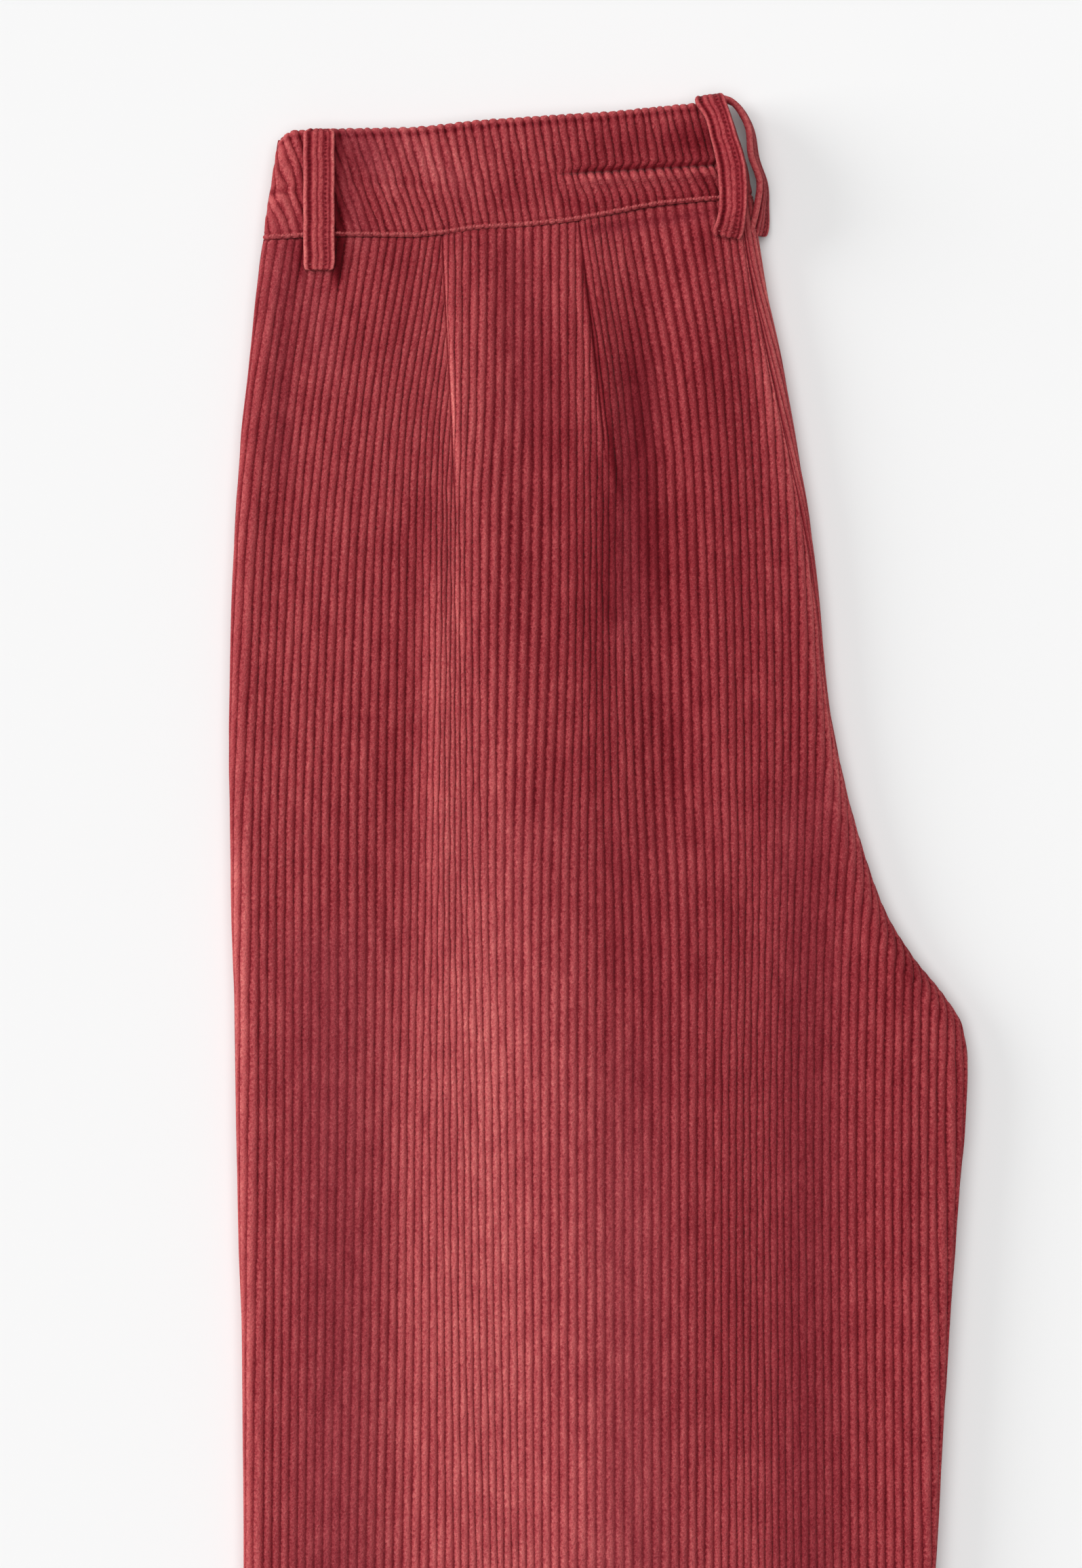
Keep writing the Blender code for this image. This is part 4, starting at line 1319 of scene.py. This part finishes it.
def loop_height(across, share):
    """The relief of a loop's face, with its rounded ends and stitch holes, and its painted light.
    """
    ends = np.clip(1.0 - from_loop_end(share) / LOOP_END, 0.0, 1.0)
    height = loop_relief(across) - LOOP_END_DROP * (1.0 - np.sqrt(1.0 - ends**2))
    hole = 0.5 - 0.5 * np.cos(2.0 * np.pi * share * LOOP_LENGTH / LOOP_STITCH_PITCH)
    holes = sum(hole * bell(across - seam, PIT_WIDTH) for seam in LOOP_SEAMS)
    return height - PIT_DEPTH * holes, loop_painted_light(across) - PIT_SHADE * holes


# %% Make the loops
LOOP_STATIONS = 144
LOOP_COLUMNS = 36
LOOP_SWAY = 0.16
LOOP_RIPPLE = 0.10
LOOP_CONTRAST = 0.9
LOOP_BACK_PILE = 0.4
LOOP_BACK_NAP = -0.2
CORNER = 3.2
CORNER_CUT = 0.34
TOP_CORNERS = 0.7


def make_loop(name, path, tone, phase):
    """A ribbed strap, from a slab with its face up."""
    bm = bmesh.new()
    bmesh.ops.create_grid(bm, x_segments=LOOP_COLUMNS, y_segments=LOOP_STATIONS, size=0.5)
    extruded = bmesh.ops.extrude_face_region(bm, geom=list(bm.faces), use_keep_orig=True)
    back = [part for part in extruded["geom"] if isinstance(part, bmesh.types.BMVert)]
    bmesh.ops.translate(bm, vec=(0.0, 0.0, -1.0), verts=back)
    bmesh.ops.recalc_face_normals(bm, faces=bm.faces)
    across, along, inside = coordinates(bm)
    share = 0.5 - along
    height, pale = loop_height(across, share)
    centre, side, outward, width = loop_frame(path, share)
    sway = LOOP_SWAY * np.sin(share * 23.0 + phase)
    sway = sway + LOOP_RIPPLE * np.sin(share * 51.0 + 2.0 * phase)
    rounder = 1.0 + TOP_CORNERS * (1.0 - share)
    corner = np.clip(1.0 - from_loop_end(share) / (CORNER * rounder), 0.0, 1.0)
    width = width * (1.0 - CORNER_CUT * rounder * (1.0 - np.sqrt(1.0 - 0.99 * corner**2)))
    reach_out = np.where(inside, -LOOP_CLOTH / 2.0, LOOP_CLOTH / 2.0 + height)
    sideways = across * width + sway * (1.0 - 1.4 * np.abs(across))
    points = centre + side * sideways[:, None] + outward * reach_out[:, None]
    # The paleness is painted light: highlights on ribs and edges, shade in grooves and stitch
    # holes.
    stands = np.where(inside, LOOP_BACK_PILE, np.clip(pale, 0.0, 1.0))
    nap = np.where(inside, LOOP_BACK_NAP, LOOP_CONTRAST * (pale - 0.5) + tone)
    middle = np.full(len(points), 0.5)
    none = np.zeros(len(points), bool)
    down = share * LOOP_LENGTH
    return lay(bm, name, points, middle, down, none, pile=stands, nap=nap, pressed=0.0 * nap)


PATHS = {
    "side_left": flat_loop_path(False),
    "side_right": flat_loop_path(True),
    "centre_left": bowed_loop_path(),
    "centre_right": edge_loop_path(),
}
LOOP_TONES = {"side_left": 0.24, "side_right": 0.24, "centre_left": -0.02, "centre_right": 0.12}
loops = {
    which: make_loop(f"belt_loop_{which}", path, LOOP_TONES[which], 1.3 * phase)
    for phase, (which, path) in enumerate(PATHS.items())
}

# %% [markdown]
# ## Stitches
# Thread can be seen down both edges of each loop, across the loops' ends and along the hem. Along
# the waistband's lower edge the thread has sunk in, and the turned pile stands over it as a pale,
# lumpy cord. Each stitch or lump is a short grain. A ray is cast onto the finished cloth to find
# where it lies, so that it follows every rib and fold.

# %% Stitches
LONGEST_STITCH = 6.0
RAY_HEIGHT = 20.0
THREAD = SimpleNamespace(thick=0.45, length=0.75, tilt=0.0, sunk=0.12, uneven=0.0)
RIM_LUMP = SimpleNamespace(thick=1.05, length=1.25, tilt=24.0, sunk=0.15, uneven=0.32)


def tree_of(piece):
    """The finished cloth, for rays to land on."""
    mesh = piece.data
    points = [vertex.co.copy() for vertex in mesh.vertices]
    return BVHTree.FromPolygons(points, [tuple(part.vertices) for part in mesh.polygons])


def sew(name, lines, grain):
    """Grains along lines; each line is a piece, points and the direction of the ray."""
    bm = bmesh.new()
    count = 0
    for piece, points, outward in lines:
        tree = tree_of(piece)
        landed = []
        for point, out in zip(points, outward):
            out = Vector(out)
            hit, _, _, _ = tree.ray_cast(Vector(point) * MM + out * RAY_HEIGHT * MM, -out)
            landed.append((hit, out) if hit else None)
        for here, there in zip(landed, landed[1:]):
            if here is None or there is None:
                continue
            step = there[0] - here[0]
            if step.length > LONGEST_STITCH * MM:
                continue
            out = here[1]
            swell = 1.0 + grain.uneven * math.sin(2.1 * count)
            tilt = math.radians(grain.tilt) * (1.0 + 2.0 * grain.uneven * math.sin(1.3 * count))
            along = Matrix.Rotation(tilt, 3, out) @ step.normalized()
            across = out.cross(along).normalized()
            up = along.cross(across).normalized()
            turn = Matrix((along, across, up)).transposed().to_4x4()
            thick = grain.thick * swell * MM
            size = Matrix.Diagonal((grain.length * step.length, thick, 0.8 * thick, 1.0))
            place = Matrix.Translation((here[0] + there[0]) / 2.0 - out * grain.sunk * MM)
            bmesh.ops.create_uvsphere(
                bm, u_segments=8, v_segments=5, radius=0.5, matrix=place @ turn @ size
            )
            count += 1
    for part in bm.faces:
        part.smooth = True
    print(f"{name}: {count} grains")
    return as_object(name, bm)


# %% Where the stitches go
RIM_START, RIM_END = -126.5, 56.0
RIM_PITCH = 1.22


def seam_line(lift):
    """Places along the waistband, lift above its seam."""
    xs = np.arange(RIM_START, RIM_END, RIM_PITCH)
    xs = xs + 0.18 * np.sin(xs * 4.1)
    ys = waist_seam(xs) + GAP + lift + 0.12 * np.sin(xs * 1.3) + 0.10 * np.sin(xs * 2.9)
    return np.stack([xs, ys, np.full(len(xs), RAY_HEIGHT)], axis=1)


def on_loop(path, across, share):
    """Places on a loop, at shares of its width and of its length."""
    centre, side, outward, width = loop_frame(path, share)
    return centre + side * (across * width)[:, None], outward


def both_sides(above, below, points):
    """The same line of stitches on the upper cloth and, turned over, on the one below."""
    up, down = (0.0, 0.0, 1.0), (0.0, 0.0, -1.0)
    return [
        (above, points, [up] * len(points)),
        (below, points * (1.0, 1.0, -1.0), [down] * len(points)),
    ]


# %% Sew
RIM_UP = 0.55
HEM_START, HEM_END = -122.0, 98.0
HEM_STITCH_PITCH = 3.4
HEM_STITCH_DOWN = 4.0
BAR_AT, BAR_REACH, BAR_HOLES = 0.955, 0.36, 6
rim_lines = both_sides(band_left_back, band_right_back, seam_line(RIM_UP))
rim_lumps = sew("waistband_rim", rim_lines, RIM_LUMP)
hole_numbers = np.arange(1.5, LOOP_LENGTH / LOOP_STITCH_PITCH - 1.0)
loop_holes = hole_numbers * LOOP_STITCH_PITCH / LOOP_LENGTH
bar_holes = np.linspace(-BAR_REACH, BAR_REACH, BAR_HOLES)
loop_lines = []
for which, path in PATHS.items():
    for seam in LOOP_SEAMS:
        loop_lines.append((loops[which], *on_loop(path, seam, loop_holes)))
    loop_lines.append((loops[which], *on_loop(path, bar_holes, np.full(BAR_HOLES, BAR_AT))))
loop_stitches = sew("belt_loop_stitches", loop_lines, THREAD)
xs = np.arange(HEM_START, HEM_END, HEM_STITCH_PITCH)
hem_y = np.full(len(xs), WAIST_SEAM_Y - BACK_LENGTH + HEM_DEPTH - HEM_STITCH_DOWN)
hem_points = np.stack([xs, hem_y, np.full(len(xs), RAY_HEIGHT)], axis=1)
hem_stitches = sew("hem_stitches", both_sides(left_back, right_back, hem_points), THREAD)

# %% [markdown]
# ## The corduroy's finish
# Corduroy is a woven ground with rows of cut pile. The tips of the pile are pale and a little
# shiny, the sides deeper, and the ground between the wales darkest: the tips' paleness is partly a
# painted highlight, and the darkness of the sides and the ground is partly painted shade in the
# valleys. Noise at five scales breaks this up: hairs, tufts along each wale, crushed spots,
# streaks where whole wales lean one way, and broad brushed patches. Sheen on the shader gives the
# soft rim that velvet has.

# %% Material helpers
def finish_named(name):
    """A new material: its nodes, its links and its shader."""
    material = bpy.data.materials.new(name)
    material.use_nodes = True
    nodes = material.node_tree.nodes
    shader = nodes["Principled BSDF"]
    return SimpleNamespace(material=material, nodes=nodes, tree=material.node_tree, shader=shader)


def add(finish, kind, numbers=None, **settings):
    """A node, with its settings and the numbers on its sockets."""
    made = finish.nodes.new(kind)
    for key, value in settings.items():
        setattr(made, key, value)
    return set_numbers(made, numbers or {})


def set_numbers(node, numbers):
    for socket, value in numbers.items():
        node.inputs[socket].default_value = value
    return node


def feed(finish, sockets, values):
    """Links each value to its socket, or sets it there if it is a number or a colour."""
    for socket, value in zip(sockets, values):
        if hasattr(value, "links"):
            finish.tree.links.new(value, socket)
        else:
            socket.default_value = (*value, 1.0) if isinstance(value, tuple) else value


def math_node(finish, operation, first, second, clamp=False):
    made = add(finish, "ShaderNodeMath", operation=operation, use_clamp=clamp)
    feed(finish, made.inputs, (first, second))
    return made.outputs[0]


def mix_colour(finish, factor, first, second):
    made = add(finish, "ShaderNodeMix", data_type="RGBA")
    feed(finish, (made.inputs[0], *made.inputs[6:8]), (factor, first, second))
    return made.outputs[2]


def noise(finish, vector, scale, detail, roughness, stretch=(1.0, 1.0, 1.0)):
    mapping = add(finish, "ShaderNodeMapping", {"Scale": stretch})
    feed(finish, mapping.inputs, [vector])
    numbers = {"Scale": scale, "Detail": detail, "Roughness": roughness}
    made = add(finish, "ShaderNodeTexNoise", numbers)
    feed(finish, made.inputs, [mapping.outputs[0]])
    return made.outputs["Fac"]


def remap(finish, value, low, high, to_low=0.0, to_high=1.0):
    made = add(finish, "ShaderNodeMapRange", clamp=True)
    feed(finish, made.inputs, (value, low, high, to_low, to_high))
    return made.outputs[0]


def paint(finish, colour, height, strength, distance):
    """Joins the colour and a bump to the shader."""
    bump = add(finish, "ShaderNodeBump", {"Strength": strength, "Distance": distance})
    shader = finish.shader
    pairs = (bump.inputs["Height"], shader.inputs["Base Color"], shader.inputs["Normal"])
    feed(finish, pairs, (height, colour, bump.outputs[0]))


# %% Colours
# The valley colours hold painted shade, and the tip colour holds a painted highlight.
TIP_AND_HIGHLIGHT = (0.360, 0.0510, 0.0585)
FLANK = (0.314, 0.0360, 0.0440)
DEEP_IN_SHADE = (0.212, 0.0165, 0.0236)
GROUND_IN_SHADE = (0.146, 0.0090, 0.0142)
FUZZ = (0.540, 0.1600, 0.1600)
PALING = (1.0, 1.95, 1.6)
PRESSED_CREST = 0.42
PRESSED_PALING = (0.0, 0.30, 0.32)
PRESSED_FILLS = 0.75
SHEEN_TINT = (1.0, 0.50, 0.48, 1.0)
TUFT_SCALE = 820.0
HAIR_SCALE = 1500.0
RAGGED = 0.13


# %% Corduroy
def brightened(finish, colour, doublings, pressed):
    """Pile that catches more light, or lies flat, is paler: its green and blue rise the most."""
    gain = add(finish, "ShaderNodeCombineXYZ")
    for socket, power, flat_power in zip(gain.inputs, PALING, PRESSED_PALING):
        raised = math_node(finish, "MULTIPLY", doublings, power)
        flat = math_node(finish, "MULTIPLY", pressed, flat_power)
        raised = math_node(finish, "ADD", raised, flat)
        feed(finish, [socket], [math_node(finish, "POWER", 2.0, raised)])
    made = add(finish, "ShaderNodeVectorMath", operation="MULTIPLY")
    feed(finish, made.inputs, (colour, gain.outputs[0]))
    return made.outputs[0]


def corduroy_material(name):
    """The face: its colour follows how high the pile stands and how it is brushed or pressed."""
    finish = finish_named(name)
    uv = add(finish, "ShaderNodeUVMap", uv_map="wales").outputs[0]
    place = add(finish, "ShaderNodeTexCoord").outputs["Object"]
    stands, nap, pressed = (
        add(finish, "ShaderNodeAttribute", attribute_name=kind).outputs["Fac"]
        for kind in ("pile", "nap", "pressed")
    )

    def maths(operation, first, second=0.0, clamp=False):
        return math_node(finish, operation, first, second, clamp)

    tufts = noise(finish, place, TUFT_SCALE, 2.0, 0.6)
    hairs = noise(finish, place, HAIR_SCALE, 1.0, 0.5)
    streaks = noise(finish, uv, 1.1, 2.0, 0.55, (1.0, 0.06, 1.0))
    patches = noise(finish, place, 26.0, 3.0, 0.55, (1.0, 0.55, 1.0))
    crushed = noise(finish, place, 210.0, 2.0, 0.5, (1.0, 0.35, 1.0))

    split = add(finish, "ShaderNodeSeparateXYZ")
    feed(finish, split.inputs, [uv])
    ragged = maths("ADD", split.outputs[0], remap(finish, tufts, 0.3, 0.7, -RAGGED, RAGGED))
    aside = maths("ABSOLUTE", maths("SUBTRACT", maths("FRACT", ragged), 0.5))
    crest = maths("SUBTRACT", 1.0, maths("MULTIPLY", aside, 2.0))
    crest = maths("MULTIPLY", crest, maths("MINIMUM", stands, 1.0))
    fuzz = maths("MAXIMUM", maths("SUBTRACT", stands, 1.0), 0.0)
    crest = maths("ADD", crest, fuzz, clamp=True)
    level = maths("SUBTRACT", PRESSED_CREST, crest)
    level = maths("MULTIPLY", maths("MULTIPLY", pressed, PRESSED_FILLS), level)
    crest = maths("ADD", crest, level)
    # From the painted shade of the valley to the painted highlight of the tip.
    stops = add(finish, "ShaderNodeValToRGB")
    marks = stops.color_ramp.elements
    marks[0].position, marks[0].color = 0.04, (*GROUND_IN_SHADE, 1.0)
    marks[1].position, marks[1].color = 0.85, (*TIP_AND_HIGHLIGHT, 1.0)
    for position, colour in ((0.24, DEEP_IN_SHADE), (0.50, FLANK)):
        marks.new(position).color = (*colour, 1.0)
    feed(finish, stops.inputs, [crest])

    # The nap is painted light and shade: it pales or deepens the colour, and grain noise is added.
    painted_light_and_grain = nap
    for grain, low, high, amount in (
        (streaks, 0.25, 0.75, 0.14),
        (patches, 0.3, 0.7, 0.10),
        (crushed, 0.3, 0.7, 0.18),
        (tufts, 0.3, 0.7, 0.26),
        (hairs, 0.3, 0.7, 0.12),
    ):
        painted_light_and_grain = maths("ADD", painted_light_and_grain, remap(finish, grain, low, high, -amount, amount))
    colour = brightened(finish, stops.outputs[0], painted_light_and_grain, pressed)
    speck = maths("MULTIPLY", remap(finish, hairs, 0.54, 0.74, 0.0, 0.30), crest)
    speck = maths("MULTIPLY", speck, remap(finish, nap, -1.0, 0.0))
    colour = mix_colour(finish, speck, colour, FUZZ)
    pile = maths("ADD", maths("MULTIPLY", tufts, 0.8), maths("MULTIPLY", hairs, 0.4))
    paint(finish, colour, pile, 0.8, 0.0010)
    roughness = remap(finish, tufts, 0.3, 0.7, 0.82, 0.98)
    feed(finish, [finish.shader.inputs["Roughness"]], [roughness])
    set_numbers(finish.shader, {
        "Specular IOR Level": 0.06,
        "Sheen Weight": 0.11,
        "Sheen Roughness": 0.45,
        "Sheen Tint": SHEEN_TINT,
    })
    return finish.material


# %% [markdown]
# ## The wrong side and the thread
# The back of the cloth has no pile. It is a flat twill, which shows at cut edges and inside the
# legs, so a plain wave texture on a slant is enough. The thread is a twist of the same red, and
# the rim's turned pile is made like it, only paler and rougher.

# %% The wrong side
TWILL_DARK = (0.20, 0.022, 0.030)
TWILL_PALE = (0.33, 0.044, 0.054)
TWILL_CLOUD = (0.26, 0.030, 0.038)
TWILL_TURN = math.radians(62.0)


def woven_material(name):
    """The wrong side: a flat twill with no pile."""
    finish = finish_named(name)
    place = add(finish, "ShaderNodeTexCoord").outputs["Object"]
    mapping = add(finish, "ShaderNodeMapping", {"Rotation": (0.0, 0.0, TWILL_TURN)})
    feed(finish, mapping.inputs, [place])
    numbers = {"Scale": 320.0, "Distortion": 1.2, "Detail": 1.0}
    twill = add(finish, "ShaderNodeTexWave", numbers, wave_type="BANDS", bands_direction="X")
    feed(finish, twill.inputs, [mapping.outputs[0]])
    weave = twill.outputs["Fac"]
    cloud = noise(finish, place, 40.0, 3.0, 0.6)
    colour = mix_colour(finish, weave, TWILL_DARK, TWILL_PALE)
    colour = mix_colour(finish, remap(finish, cloud, 0.3, 0.7, 0.0, 0.35), colour, TWILL_CLOUD)
    paint(finish, colour, weave, 0.4, 0.0002)
    numbers = {"Roughness": 0.9, "Specular IOR Level": 0.2, "Sheen Weight": 0.15}
    set_numbers(finish.shader, numbers)
    return finish.material


# %% Thread
def thread_material(name, dark, pale, rough):
    """Twisted sewing thread, or a cord of turned pile, in the cloth's colour."""
    finish = finish_named(name)
    place = add(finish, "ShaderNodeTexCoord").outputs["Object"]
    twist = noise(finish, place, HAIR_SCALE, 2.0, 0.6)
    colour = mix_colour(finish, remap(finish, twist, 0.35, 0.65), dark, pale)
    paint(finish, colour, twist, 0.6, 0.0004)
    set_numbers(finish.shader, {
        "Roughness": rough,
        "Specular IOR Level": 0.12,
        "Sheen Weight": 0.1,
        "Sheen Tint": SHEEN_TINT,
    })
    return finish.material


face_cloth = corduroy_material("corduroy_face")
loop_cloth = corduroy_material("corduroy_loop")
wrong_side = woven_material("corduroy_wrong_side")
thread = thread_material("sewing_thread", (0.27, 0.038, 0.044), (0.43, 0.095, 0.098), 0.7)
rim_pile = thread_material("rim_pile", (0.34, 0.046, 0.052), (0.50, 0.112, 0.114), 0.9)
print("thread and rim pile are made")

# %% [markdown]
# ## Put the pieces in the frame
# Cloth has no joints, so every piece rides on the one body. Each panel stands for its solid, which
# is hidden. The size that a panel was cut to is worked out too; a panel isn't a rectangle, so its
# area comes from its sections.

# %% Cut sizes
def cut_area(section, stations, heights):
    """The flat area of a panel, from its width along the cloth at each station."""
    row = section(np.array(stations, float))
    first, last = reach(row, row.seam)
    widths = last - first
    area = np.sum((widths[1:] + widths[:-1]) / 2.0 * np.diff(heights))
    return float(area) * MM * MM, float(widths.max()) * MM


# %% Sheets and what they stand for
panel_area, panel_width = cut_area(leg_section, ROWS, ROWS)
band_area, band_width = cut_area(band_section, BAND_HEIGHTS, BAND_HEIGHTS * BAND_HEIGHT)
print(f"back panel: {panel_width:.3f} m wide, {panel_area:.3f} square metres")
print(f"waistband half: {band_width:.3f} m wide, {band_area:.4f} square metres")
PANEL_FLAT = (round(panel_width, 3), 0.99)
BAND_FLAT = (round(band_width, 3), 0.04)
PANELS = (
    # piece, solid, what it rests on
    (left_back, "back_left", "front_panels"),
    (right_back, "back_right", "floor"),
    (left_front, "front_panels", "right_front_cloth"),
    (right_front, "front_panels", "back_right"),
)
BANDS = (
    (band_left_back, "waistband_back_left", "waistband_fronts"),
    (band_right_back, "waistband_back_right", "loop_side_right"),
    (band_left_front, "waistband_fronts", "waistband_right_front_cloth"),
    (band_right_front, "waistband_fronts", "waistband_back_right"),
)
for table, flat, area in ((PANELS, PANEL_FLAT, panel_area), (BANDS, BAND_FLAT, band_area)):
    for piece, solid, under in table:
        piece.data.materials.append(face_cloth)
        piece.data.materials.append(wrong_side)
        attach(piece, "root")
        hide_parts(solid)
for which, piece in loops.items():
    piece.data.materials.append(loop_cloth)
    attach(piece, "root")
    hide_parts("loop_" + which)
for piece, finish in ((rim_lumps, rim_pile), (loop_stitches, thread), (hem_stitches, thread)):
    piece.data.materials.append(finish)
    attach(piece, "root")

# %% [markdown]
# ## Floor, light and camera
# The trousers lie on a pale floor under soft daylight from the left, with a bright ceiling. The
# camera looks straight down at the upper part of the garment.

# %% Floor
FLOOR_REACH = 12.0
FLOOR_PALE = (0.88, 0.88, 0.88, 1.0)
bm = bmesh.new()
bmesh.ops.create_grid(bm, x_segments=1, y_segments=1, size=FLOOR_REACH)
floor = as_object("floor", bm)
floor_paint = finish_named("floor_paint")
numbers = {"Base Color": FLOOR_PALE, "Roughness": 1.0, "Specular IOR Level": 0.0}
set_numbers(floor_paint.shader, numbers)
floor.data.materials.append(floor_paint.material)

# %% Light
def sun(name, direction, strength, width):
    """A soft sun that shines from a direction."""
    light = bpy.data.lights.new(name, "SUN")
    light.energy = strength
    light.angle = math.radians(width)
    lamp = bpy.data.objects.new(name, light)
    lamp.rotation_mode = "QUATERNION"
    lamp.rotation_quaternion = Vector(direction).to_track_quat("Z", "Y")
    bpy.context.scene.collection.objects.link(lamp)


sun("window_left", (-0.935, 0.20, 0.29), 2.05, 40.0)
sun("ceiling", (-0.10, 0.10, 1.0), 2.28, 60.0)
world = bpy.data.worlds.new("studio")
bpy.context.scene.world = world
world.use_nodes = True
sky = world.node_tree.nodes["Background"]
set_numbers(sky, {"Color": (1.0, 1.0, 1.0, 1.0), "Strength": 0.16})
bpy.context.scene.view_settings.view_transform = "Standard"
print("two soft suns and a pale sky")

# %% Camera
PICTURE_HEIGHT = 0.6008
PICTURE_MIDDLE = (-0.0221, 0.2565)
LENS, LONG_SIDE = 100.0, 36.0
camera_data = bpy.data.cameras.new("camera")
camera_data.lens = LENS
camera_data.sensor_width = LONG_SIDE
camera = bpy.data.objects.new("camera", camera_data)
camera.location = (*PICTURE_MIDDLE, HEIGHT * MM + PICTURE_HEIGHT * LENS / LONG_SIDE)
bpy.context.scene.collection.objects.link(camera)
bpy.context.scene.camera = camera
print(f"the camera is {camera.location.z:.3f} m up")
